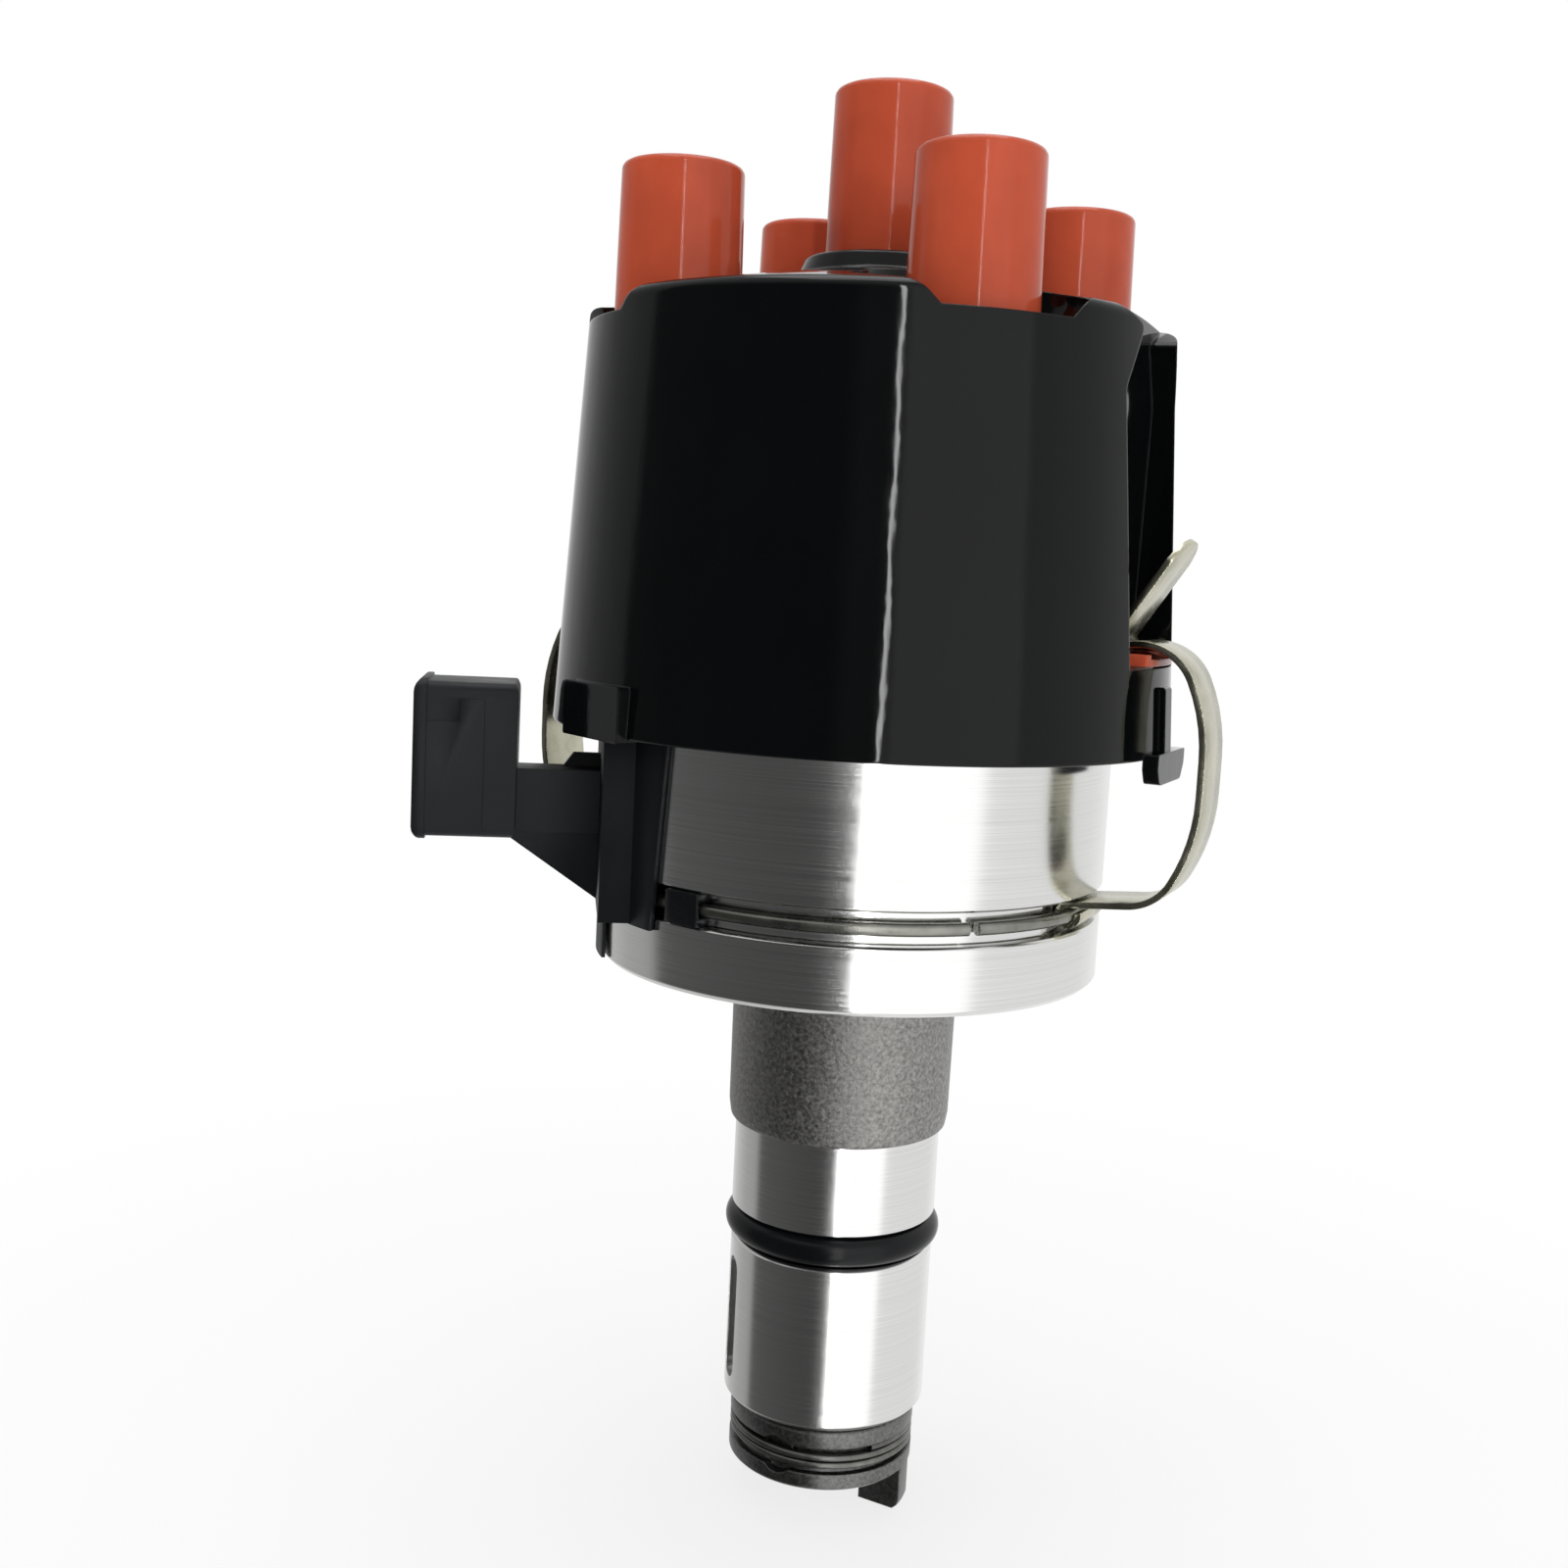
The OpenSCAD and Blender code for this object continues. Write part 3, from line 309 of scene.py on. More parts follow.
def tidy(piece, crease=CREASE):
    """Merges doubles, turns faces outwards and marks edges sharper than crease degrees."""
    bm = bmesh.new()
    bm.from_mesh(piece.data)
    bmesh.ops.remove_doubles(bm, verts=bm.verts, dist=MERGE_GAP)
    bmesh.ops.recalc_face_normals(bm, faces=bm.faces)
    for face in bm.faces:
        face.smooth = True
    for edge in bm.edges:
        edge.smooth = edge.calc_face_angle(0) < math.radians(crease)
    bm.to_mesh(piece.data)
    bm.free()
    return piece


def apply_modifiers(piece):
    depsgraph = bpy.context.evaluated_depsgraph_get()
    mesh = bpy.data.meshes.new_from_object(piece.evaluated_get(depsgraph))
    piece.modifiers.clear()
    old = piece.data
    piece.data = mesh
    bpy.data.meshes.remove(old)


def combine(piece, other, operation):
    """Combines a piece with another solid, which is used up."""
    modifier = piece.modifiers.new("combine", "BOOLEAN")
    modifier.operation = operation
    modifier.object = other
    modifier.solver = "MANIFOLD"
    apply_modifiers(piece)
    bpy.data.objects.remove(other)


def cut(piece, other):
    combine(piece, other, "DIFFERENCE")


def join(piece, other):
    combine(piece, other, "UNION")


def lathe(name, outline, steps, centre=(0, 0)):
    """A closed outline of (radius, height) points, turned about a vertical line."""
    points, faces, rings = [], [], []
    for radius, height in outline:
        if radius == 0:
            rings.append([len(points)] * steps)
            points.append((*centre, height))
            continue
        rings.append([len(points) + i for i in range(steps)])
        for i in range(steps):
            angle = math.tau * i / steps
            x = centre[0] + radius * math.cos(angle)
            y = centre[1] + radius * math.sin(angle)
            points.append((x, y, height))
    for row, ring in enumerate(rings):
        after = rings[(row + 1) % len(rings)]
        for i in range(steps):
            k = (i + 1) % steps
            corners = [ring[i], ring[k], after[k], after[i]]
            face = [c for n, c in enumerate(corners) if c != corners[n - 1]]
            if len(set(face)) > 2:
                faces.append(face)
    return tidy(from_points(name, points, faces))


def rod(name, radius, low, high, centre=(0, 0)):
    """An upright cylinder."""
    return lathe(name, [(0, low), (radius, low), (radius, high), (0, high)], COARSE_STEPS, centre)


def rounded(outline, steps=CORNER_STEPS):
    """Rounds the corners of an outline: a point may carry a radius as its third value."""
    result = []
    count = len(outline)
    for i, point in enumerate(outline):
        here = Vector(point[:2])
        radius = point[2] if len(point) > 2 else 0
        if radius == 0:
            result.append(tuple(here))
            continue
        before = (Vector(outline[i - 1][:2]) - here).normalized()
        after = (Vector(outline[(i + 1) % count][:2]) - here).normalized()
        half = before.angle(after) / 2
        reach = radius / math.tan(half)
        centre = here + (before + after).normalized() * radius / math.sin(half)
        start, end = here + before * reach - centre, here + after * reach - centre
        for k in range(steps + 1):
            spoke = start.lerp(end, k / steps).normalized() * radius
            result.append(tuple(centre + spoke))
    return result


def mirrored(right):
    """Closes the right half of an outline with its mirror image."""
    return right + [(-x, *rest) for x, *rest in reversed(right)]


def prism(name, outline, low, high, place):
    """An outline of flat points between two heights along its own Z, then put in place."""
    count = len(outline)
    points = [place @ Vector((x, y, z)) for z in (low, high) for x, y in outline]
    faces = [list(range(count))[::-1], list(range(count, 2 * count))]
    faces += [[i, (i + 1) % count, count + (i + 1) % count, count + i] for i in range(count)]
    return tidy(from_points(name, points, faces))


def block(name, x, y, z, place):
    """A box from three ranges, put in place."""
    outline = [(x[0], y[0]), (x[1], y[0]), (x[1], y[1]), (x[0], y[1])]
    return prism(name, outline, z[0], z[1], place)


def facing(angle):
    """Turns +X to an angle round the axis."""
    return Matrix.Rotation(math.radians(angle), 4, "Z")


def seen_from_outside(angle, rho=0, height=0):
    """Place of an outline with X across, Y up and Z outwards, at a distance off the axis."""
    upright = Matrix(((0, 0, 1, 0), (1, 0, 0, 0), (0, 1, 0, 0), (0, 0, 0, 1)))
    return facing(angle) @ Matrix.Translation((rho, 0, height)) @ upright


def dressed_copy(name, node, bevel):
    """A copy of a CAD node with its flat faces made whole again and its edges softly rounded."""
    mesh = frame["nodes"][node].data.copy()
    mesh.materials.clear()
    piece = new_piece(name, mesh)
    bm = bmesh.new()
    bm.from_mesh(mesh)
    bmesh.ops.remove_doubles(bm, verts=bm.verts, dist=WELD_GAP)
    bmesh.ops.dissolve_limit(bm, angle_limit=math.radians(FLAT_ANGLE), verts=bm.verts, edges=bm.edges)
    bmesh.ops.dissolve_degenerate(bm, edges=bm.edges, dist=MERGE_GAP)
    bm.to_mesh(mesh)
    bm.free()
    if bevel:
        modifier = piece.modifiers.new("soft edges", "BEVEL")
        modifier.width = bevel * MM
        modifier.segments = BEVEL_SEGMENTS
        modifier.limit_method = "ANGLE"
        modifier.angle_limit = math.radians(CREASE)
        modifier.use_clamp_overlap = True
        apply_modifiers(piece)
    return tidy(piece)


# Shader nodes

def add_node(tree, kind, **values):
    """Adds a node and sets its sockets, or else its properties, by name."""
    node = tree.nodes.new(kind)
    for key, value in values.items():
        if key in node.inputs:
            node.inputs[key].default_value = value
        else:
            setattr(node, key, value)
    return node


def maths(tree, operation, first, second):
    """Works out a value from two others, of which the second may be a plain number."""
    node = add_node(tree, "ShaderNodeMath", operation=operation)
    tree.links.new(first, node.inputs[0])
    if isinstance(second, (int, float)):
        node.inputs[1].default_value = second
    else:
        tree.links.new(second, node.inputs[1])
    return node.outputs["Value"]


def spread(tree, value, low, high, from_low=0.3, from_high=0.7):
    """Stretches a value from a range, by default that of most noise, to another."""
    ramp = add_node(tree, "ShaderNodeMapRange")
    ramp.inputs["From Min"].default_value = from_low
    ramp.inputs["From Max"].default_value = from_high
    ramp.inputs["To Min"].default_value = low
    ramp.inputs["To Max"].default_value = high
    tree.links.new(value, ramp.inputs["Value"])
    return ramp.outputs["Result"]


def blended(tree, factor, first, second):
    """Mixes two colours, each of them a socket or a plain colour."""
    mix = add_node(tree, "ShaderNodeMix", data_type="RGBA")
    tree.links.new(factor, mix.inputs["Factor"])
    for socket, colour in zip([s for s in mix.inputs if s.type == "RGBA"], (first, second)):
        if isinstance(colour, tuple):
            socket.default_value = (*colour, 1)
        else:
            tree.links.new(colour, socket)
    return next(s for s in mix.outputs if s.type == "RGBA")


def mixed_shaders(tree, factor, first, second):
    mix = add_node(tree, "ShaderNodeMixShader")
    tree.links.new(factor, mix.inputs["Fac"])
    tree.links.new(first, mix.inputs[1])
    tree.links.new(second, mix.inputs[2])
    return mix.outputs["Shader"]


def two_tone(tree, value, dark, light, from_low=0.3, from_high=0.7):
    return blended(tree, spread(tree, value, 0, 1, from_low, from_high), dark, light)


def noise_at(tree, scale, detail=3.0, roughness=0.5):
    """Noise on Object coordinates, with its cells per metre on each axis."""
    where = add_node(tree, "ShaderNodeTexCoord")
    mapping = add_node(tree, "ShaderNodeMapping", Scale=scale)
    tree.links.new(where.outputs["Object"], mapping.inputs["Vector"])
    noise = add_node(tree, "ShaderNodeTexNoise", Scale=1.0, Detail=detail, Roughness=roughness)
    tree.links.new(mapping.outputs["Vector"], noise.inputs["Vector"])
    return noise.outputs["Fac"]


def grain_noise(tree, grain, detail, roughness):
    """Even noise with cells of a size in millimetres."""
    return noise_at(tree, (1 / (grain * MM),) * 3, detail, roughness)


def relief(tree, shader, value, depth, normal):
    """Bump from a value, with its depth in millimetres."""
    bump = add_node(tree, "ShaderNodeBump", Strength=1.0, Distance=depth * MM)
    tree.links.new(value, bump.inputs["Height"])
    tree.links.new(normal, bump.inputs["Normal"])
    tree.links.new(bump.outputs["Normal"], shader.inputs["Normal"])
    return bump.outputs["Normal"]


def soft_edge(tree, radius):
    """Normals that round the edges a little, by a radius in millimetres."""
    bevel = add_node(tree, "ShaderNodeBevel", samples=4, Radius=radius * MM)
    return bevel.outputs["Normal"]


# Pitch and depth of tool marks and depth of the pits in plating, in millimetres
TOOL_PITCH = 0.16
TOOL_DEPTH = 0.0016
PIT_DEPTH = 0.0015

# Radius of the edges of turned and of cast metal, in millimetres
TURNED_EDGE = 0.15
CAST_EDGE = 0.3

# Noise cells per metre on each axis, and how fast tool marks change round the axis
BLOTCHES = (120, 120, 90)
WAVES = (170, 170, 70)
CLOUDS = (260, 260, 260)
PITS = (3000, 3000, 3000)
TOOL_DRIFT = 14.0

# Least and most roughness of a finish, as shares of its own
METAL_SHARES = (0.8, 1.3)
CAST_SHARES = (0.8, 1.25)
PLASTIC_SHARES = (0.85, 1.2)

# Darkest and lightest tones of a finish, as shares of its colour
TURNED_DARK = 0.9
PLASTIC_DARK = 0.86
PLASTIC_LIGHT = 1.08


def turning_lines(tree):
    """A value that changes along the radius and the height, as tool marks on turned metal do."""
    where = add_node(tree, "ShaderNodeTexCoord")
    parts = add_node(tree, "ShaderNodeSeparateXYZ")
    tree.links.new(where.outputs["Object"], parts.inputs["Vector"])
    flat = add_node(tree, "ShaderNodeCombineXYZ")
    point = add_node(tree, "ShaderNodeCombineXYZ")
    for axis in ("X", "Y"):
        tree.links.new(parts.outputs[axis], flat.inputs[axis])
        tree.links.new(maths(tree, "MULTIPLY", parts.outputs[axis], TOOL_DRIFT), point.inputs[axis])
    radius = add_node(tree, "ShaderNodeVectorMath", operation="LENGTH")
    tree.links.new(flat.outputs["Vector"], radius.inputs[0])
    path = maths(tree, "ADD", radius.outputs["Value"], parts.outputs["Z"])
    tree.links.new(maths(tree, "MULTIPLY", path, 1 / (TOOL_PITCH * MM)), point.inputs["Z"])
    noise = add_node(tree, "ShaderNodeTexNoise", Scale=1.0, Detail=2.0, Roughness=0.6)
    tree.links.new(point.outputs["Vector"], noise.inputs["Vector"])
    return noise.outputs["Fac"]


def new_material(name):
    material = bpy.data.materials.new(name)
    material.use_nodes = True
    tree = material.node_tree
    return material, tree, tree.nodes["Principled BSDF"]


def set_look(tree, shader, colour, value, roughness, shares):
    """Connects a colour, and a roughness that follows a value between two shares of itself."""
    tree.links.new(colour, shader.inputs["Base Color"])
    least, most = (roughness * share for share in shares)
    tree.links.new(spread(tree, value, least, most), shader.inputs["Roughness"])


def shade(colour, share):
    return tuple(min(1.0, share * c) for c in colour)


def turned_metal(name, colour, roughness, anisotropy):
    material, tree, shader = new_material(name)
    shader.inputs["Metallic"].default_value = 1.0
    shader.inputs["Anisotropic"].default_value = anisotropy
    tangent = add_node(tree, "ShaderNodeTangent", direction_type="RADIAL", axis="Z")
    tree.links.new(tangent.outputs["Tangent"], shader.inputs["Tangent"])
    lines = turning_lines(tree)
    tones = two_tone(tree, lines, shade(colour, TURNED_DARK), colour)
    set_look(tree, shader, tones, lines, roughness, METAL_SHARES)
    relief(tree, shader, lines, TOOL_DEPTH, soft_edge(tree, TURNED_EDGE))
    return material


def cast_metal(name, dark, light, roughness, grain, depth):
    material, tree, shader = new_material(name)
    shader.inputs["Metallic"].default_value = 1.0
    skin = grain_noise(tree, grain, detail=4.0, roughness=0.7)
    tones = two_tone(tree, skin, dark, light, from_low=0.35)
    set_look(tree, shader, tones, skin, roughness, CAST_SHARES)
    relief(tree, shader, skin, depth, soft_edge(tree, CAST_EDGE))
    return material


def plated_steel(name, dark, light, roughness, edge=0.1):
    material, tree, shader = new_material(name)
    shader.inputs["Metallic"].default_value = 1.0
    cloud = noise_at(tree, CLOUDS, detail=4.0, roughness=0.6)
    set_look(tree, shader, two_tone(tree, cloud, dark, light), cloud, roughness, METAL_SHARES)
    relief(tree, shader, noise_at(tree, PITS, detail=2.0), PIT_DEPTH, soft_edge(tree, edge))
    return material


def moulded_plastic(name, colour, roughness, grain, depth, edge=0.25, wave=0.0, gloss=0.5):
    """Plastic, rubber or felt: a grain of a depth, and where it is glossy a shallow wave."""
    material, tree, shader = new_material(name)
    shader.inputs["Specular IOR Level"].default_value = gloss
    blotch = noise_at(tree, BLOTCHES, detail=3.0, roughness=0.55)
    tones = two_tone(tree, blotch, shade(colour, PLASTIC_DARK), shade(colour, PLASTIC_LIGHT))
    set_look(tree, shader, tones, blotch, roughness, PLASTIC_SHARES)
    normal = soft_edge(tree, edge)
    if wave:
        swell = noise_at(tree, WAVES, detail=3.0, roughness=0.55)
        normal = relief(tree, shader, swell, wave, normal)
    relief(tree, shader, grain_noise(tree, grain, detail=2.0, roughness=0.5), depth, normal)
    return material


TURNED = {
    "turned_aluminium": dict(colour=(0.82, 0.82, 0.81), roughness=0.14, anisotropy=0.75),
    "ground_steel": dict(colour=(0.58, 0.58, 0.57), roughness=0.25, anisotropy=0.5),
    "brass": dict(colour=(0.78, 0.55, 0.24), roughness=0.28, anisotropy=0.3),
}
CAST = {
    "cast_aluminium": dict(dark=(0.17, 0.168, 0.16), light=(0.48, 0.475, 0.46), roughness=0.5, grain=0.5,
                           depth=0.06),
    "dark_steel": dict(dark=(0.11, 0.11, 0.108), light=(0.25, 0.25, 0.245), roughness=0.38, grain=0.5,
                       depth=0.012),
    "bush_bronze": dict(dark=(0.42, 0.25, 0.10), light=(0.62, 0.40, 0.18), roughness=0.4, grain=0.4,
                        depth=0.01),
    "carbon": dict(dark=(0.02, 0.02, 0.02), light=(0.06, 0.06, 0.06), roughness=0.5, grain=0.3,
                   depth=0.005),
}
PLATED = {
    "coil_steel": dict(dark=(0.10, 0.10, 0.094), light=(0.25, 0.25, 0.235), roughness=0.34, edge=0.05),
    "ring_wire": dict(dark=(0.20, 0.20, 0.18), light=(0.34, 0.34, 0.31), roughness=0.28, edge=0.05),
    "plated_steel": dict(dark=(0.48, 0.48, 0.46), light=(0.66, 0.66, 0.63), roughness=0.32),
    "zinc_spring_steel": dict(dark=(0.40, 0.39, 0.29), light=(0.62, 0.60, 0.48), roughness=0.24),
    "tinned_brass": dict(dark=(0.55, 0.50, 0.34), light=(0.72, 0.66, 0.48), roughness=0.3),
}
MOULDED = {
    "orange_plastic": dict(colour=(0.55, 0.088, 0.040), roughness=0.09, grain=0.6, depth=0.0012,
                           edge=0.3, wave=0.02, gloss=0.18),
    "black_plastic": dict(colour=(0.0025, 0.0029, 0.0032), roughness=0.05, grain=1.4, depth=0.0006,
                          edge=0.3, wave=0.045, gloss=0.2),
    "connector_plastic": dict(colour=(0.0068, 0.0082, 0.0101), roughness=0.42, grain=0.3, depth=0.006,
                              edge=0.06, gloss=0.2),
    "seal_rubber": dict(colour=(0.0045, 0.005, 0.006), roughness=0.24, grain=0.5, depth=0.002,
                        edge=0.1, gloss=0.22),
    "rotor_plastic": dict(colour=(0.25, 0.03, 0.02), roughness=0.4, grain=0.4, depth=0.004),
    "felt": dict(colour=(0.40, 0.36, 0.27), roughness=0.9, grain=0.2, depth=0.05),
}
KINDS = ((turned_metal, TURNED), (cast_metal, CAST), (plated_steel, PLATED), (moulded_plastic, MOULDED))
FINISHES = {name: make(name, **look) for make, looks in KINDS for name, look in looks.items()}


def dress(piece, node, *finishes):
    """Gives a piece its body and its finishes, by default its slot's, and hides the node that it stands
    for.
    """
    piece.data.materials.clear()
    for finish in finishes or (SLOTS[node],):
        piece.data.materials.append(FINISHES[finish])
    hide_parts(node)
    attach(piece, BODIES[node])


# Housing: turned bowl, flange and shank, with the neck left as cast

def oil_slot():
    """The slot in the shank, upright and with round ends."""
    turns = [math.radians(a) for a in range(0, 181, SLOT_STEP)]
    ends = [(side * SLOT_HALF * math.cos(turn), side * (SLOT_REACH + SLOT_HALF * math.sin(turn)))
            for side in (1, -1) for turn in turns]
    place = seen_from_outside(SLOT_ANGLE, LAND_R - SLOT_DEPTH, SLOT_MIDDLE)
    return prism("slot", ends, 0, SLOT_CUTTER, place)


def housing_casting():
    outline = rounded([
        (BORE_R, SHANK_END, ROUND), (LAND_R - END_CHAMFER_R, SHANK_END),
        (LAND_R, SHANK_END + END_CHAMFER_H, ROUND), (LAND_R, SEAL_LOW - SEAL_CHAMFER),
        (LAND_R - SEAL_CHAMFER, SEAL_LOW, FINE), (SEAL_FLOOR_R, SEAL_LOW, ROUND),
        (SEAL_FLOOR_R, SEAL_TOP, ROUND), (SHANK_R - GROOVE_EDGE, SEAL_TOP, FINE),
        (SHANK_R, SEAL_TOP + GROOVE_EDGE, FINE), (SHANK_R, 0.0),
        (NECK_R - NECK_FOOT_IN, 0.0, NECK_FOOT_ROUND), (NECK_R + NECK_DRAFT_LOW, NECK_FOOT_H),
        (NECK_R + NECK_DRAFT_TOP, FLANGE_LOW - NECK_FILLET),
        (NECK_R + NECK_FILLET, FLANGE_LOW, NECK_FILLET_ROUND),
        (FLANGE_R - FLANGE_CHAMFER, FLANGE_LOW, FLANGE_ROUND),
        (FLANGE_R, FLANGE_LOW + FLANGE_CHAMFER, SOFT),
        (FLANGE_R, GROOVE_LOW - GROOVE_EDGE, FINE), (FLANGE_R - GROOVE_EDGE, GROOVE_LOW, FINE),
        (GROOVE_R, GROOVE_LOW, SOFT), (GROOVE_R, GROOVE_TOP, SOFT),
        (BOWL_R - GROOVE_EDGE, GROOVE_TOP, FINE), (BOWL_R, GROOVE_TOP + GROOVE_EDGE, FINE),
        (BOWL_R, RIM - RIM_CHAMFER, SOFT), (BOWL_R - RIM_CHAMFER, RIM, FINE), (BOWL_IN_R, RIM, SOFT),
        (BOWL_IN_R, BOWL_FLOOR, BOWL_FLOOR_ROUND), (BORE_R, BOWL_FLOOR, SOFT)])
    piece = lathe("housing_casting", outline, FINE_STEPS)
    heights = (GROOVE_LOW + FLAT_ROOM, GROOVE_TOP - FLAT_ROOM)
    for angle in CLIP_ANGLES:
        cut(piece, block("flat", FLAT_RHO, (-FLAT_HALF, FLAT_HALF), heights, facing(angle)))
    cut(piece, oil_slot())
    cut(piece, block("lead_way", LEAD_WAY_RHO, (-LEAD_WAY_HALF, LEAD_WAY_HALF), LEAD_WAY_HEIGHTS,
                     facing(LEAD_WAY_ANGLE)))
    tidy(piece, HOUSING_CREASE)
    dress(piece, "housing", "turned_aluminium", "cast_aluminium")
    for face in piece.data.polygons:
        face.material_index = 1 if on_neck(face.center / MM) else 0


def on_neck(point):
    """Whether a point lies on the neck's own skin, between the shoulder and the flange."""
    radius = math.hypot(point.x, point.y)
    return 0.02 < point.z < FLANGE_LOW - 0.05 and NECK_R - 0.6 < radius < NECK_OUTER_R


# Lead towers with their sockets

def tower_places():
    """Centres of the four plug lead towers."""
    angles = [math.radians(TOWER_ANGLE + 90 * i) for i in range(4)]
    return [(CIRCLE_R * math.cos(angle), CIRCLE_R * math.sin(angle)) for angle in angles]


def tower(name, node, centre, low, high):
    floor = high - SOCKET_DEPTH
    outline = rounded([
        (0, low), (TOWER_R, low, FINE), (TOWER_R - TOWER_TAPER, high, TOWER_ROUND),
        (SOCKET_R + SOCKET_CHAMFER, high, SOFT), (SOCKET_R, high - SOCKET_CHAMFER, SOFT),
        (SOCKET_R, floor, ROUND), (0, floor)])
    dress(lathe(name, outline, TOWER_STEPS, centre), node)


def lead_towers():
    for i, centre in enumerate(tower_places(), 1):
        tower(f"lead_tower_shell_{i}", f"lead_tower_{i}", centre, CAP_SHOULDER, TOWER_TOP)
    tower("coil_tower_shell", "coil_lead_tower", (0, 0), COIL_SEAT, COIL_TOP)


# Screening cover

def cover_r_at(height):
    """Outer radius of the cover's tapered side."""
    return COVER_R - (COVER_R - COVER_TOP_R) * (height - COVER_LOW) / (COVER_RIM - COVER_LOW)


def flute(name, angle, rho, grow):
    """Prism of a clip's flute, from a distance off the axis outwards and grown by a wall."""
    half = FLUTE_HALF + grow
    right = [
        (half, SILL - grow), (half + SWELL, COVER_RIM - SWELL_DROP, SWELL_ROUND),
        (half - WAIST, COVER_RIM - WAIST_DROP, WAIST_ROUND),
        (half + MOUTH, COVER_RIM + MOUTH_RISE - 2 * grow), (half + MOUTH, COVER_RIM + PAST_SIDE)]
    return prism(name, rounded(mirrored(right)), rho, rho + PAST_SIDE, seen_from_outside(angle))


def well(name, centre, grow, low):
    """Space round a tower, which flares above its lip, grown by a wall."""
    lip = WELL_R - WELL_FLARE + grow
    mouth = WELL_R + WELL_FLARE + grow
    outline = [(0, low), (lip, low), (lip, WELL_FLOOR), (mouth, WELL_FLOOR + WELL_LIP), (mouth, PAST_TOP),
               (0, PAST_TOP)]
    return lathe(name, outline, COARSE_STEPS, centre)


def cover_cavity():
    """Space under the cover, less the lining of its flutes and the collars of its wells."""
    shoulder = COVER_RIM - RIM_SLOPE
    top = DECK_TOP + BOSS_H - DECK_WALL
    cavity = lathe("cavity", rounded([
        (0, PAST_LOW), (cover_r_at(PAST_LOW) - COVER_WALL, PAST_LOW),
        (cover_r_at(shoulder) - COVER_WALL, shoulder - DECK_WALL, INSIDE_ROUND),
        (COVER_TOP_R - RIM_SLOPE - COVER_WALL, COVER_RIM - DECK_WALL),
        (BOSS_R - COVER_WALL, DECK_TOP - DECK_WALL), (BOSS_TOP_R - COVER_WALL, top), (0, top)]), FINE_STEPS)
    for angle in CLIP_ANGLES:
        lining = flute("lining", angle, FLUTE_RHO - FLUTE_WALL, FLUTE_WALL)
        cut(lining, block("clip_way", (0, 2 * PAST_SIDE), (JAMB - FLUTE_HALF, FLUTE_HALF - JAMB),
                          (PAST_LOW, WINDOW_TOP), facing(angle)))
        cut(cavity, lining)
    for centre in tower_places():
        collar = well("collar", centre, WELL_WALL, CAP_SHOULDER)
        inner_r = WELL_R - WELL_FLARE - COLLAR_LIP
        cut(collar, rod("collar_bore", inner_r, CAP_SHOULDER - 1, CAP_SHOULDER + 8, centre))
        cut(cavity, collar)
    return cavity


def foot(angle):
    """Foot below the cover's edge, under a window."""
    right = [
        (FOOT_END_HALF, COVER_LOW - FOOT_DROP, FOOT_END_ROUND),
        (FOOT_HALF, COVER_LOW - FOOT_STEP, FOOT_ROUND), (FOOT_HALF, COVER_LOW + FOOT_STEP, ROUND)]
    return prism("foot", rounded(mirrored(right)), COVER_R - FOOT_ROOT, COVER_R + FOOT_OUT,
                 seen_from_outside(angle))


def rib(angle):
    """Upright rib between a foot and its window."""
    low = COVER_LOW + RIB_LIFT
    outline = [
        (COVER_R - RIB_ROOT, low), (COVER_R + RIB_OUT, low, SOFT),
        (cover_r_at(RIB_TOP) + RIB_OUT, RIB_TOP, STUB_ROUND), (COVER_R - RIB_ROOT, RIB_TOP)]
    upright = facing(angle) @ Matrix.Rotation(math.radians(90), 4, "X")
    return prism("rib", rounded(outline), -RIB_HALF, RIB_HALF, upright)


def lug():
    """Locating lug at the cover's lower edge."""
    low, high = COVER_LOW - LUG_DROP, COVER_LOW + LUG_H
    outline = [(-LUG_HALF, low, ROUND), (LUG_HALF, low, ROUND), (LUG_HALF, high, STUB_ROUND),
               (-LUG_HALF, high, STUB_ROUND)]
    return prism("lug", rounded(outline), COVER_R - LUG_ROOT, COVER_R + LUG_OUT,
                 seen_from_outside(LUG_ANGLE))


def screening_shell():
    shell = lathe("screening_shell", rounded([
        (0, COVER_LOW), (COVER_R, COVER_LOW, HEM_ROUND), (COVER_TOP_R, COVER_RIM, RIM_ROUND),
        (BOSS_R, DECK_TOP, DECK_ROUND), (BOSS_TOP_R, DECK_TOP + BOSS_H, BOSS_ROUND),
        (0, DECK_TOP + BOSS_H)], COVER_CORNER_STEPS), FINE_STEPS)
    for angle in CLIP_ANGLES:
        join(shell, foot(angle))
        join(shell, rib(angle))
    join(shell, lug())
    cut(shell, cover_cavity())
    for angle in CLIP_ANGLES:
        cut(shell, flute("flute", angle, FLUTE_RHO, 0))
    for centre in tower_places():
        cut(shell, well("well", centre, 0, WELL_FLOOR))
        cut(shell, rod("tower_way", TOWER_R + TOWER_ROOM, CAP_SHOULDER, CAP_SHOULDER + 10, centre))
    cut(shell, rod("coil_way", TOWER_R + TOWER_ROOM, CAP_SHOULDER, PAST_TOP))
    tidy(shell, COVER_CREASE)
    dress(shell, "screening_cover")


# Flat coil round the dog, and the brush spring, from one tree of nodes

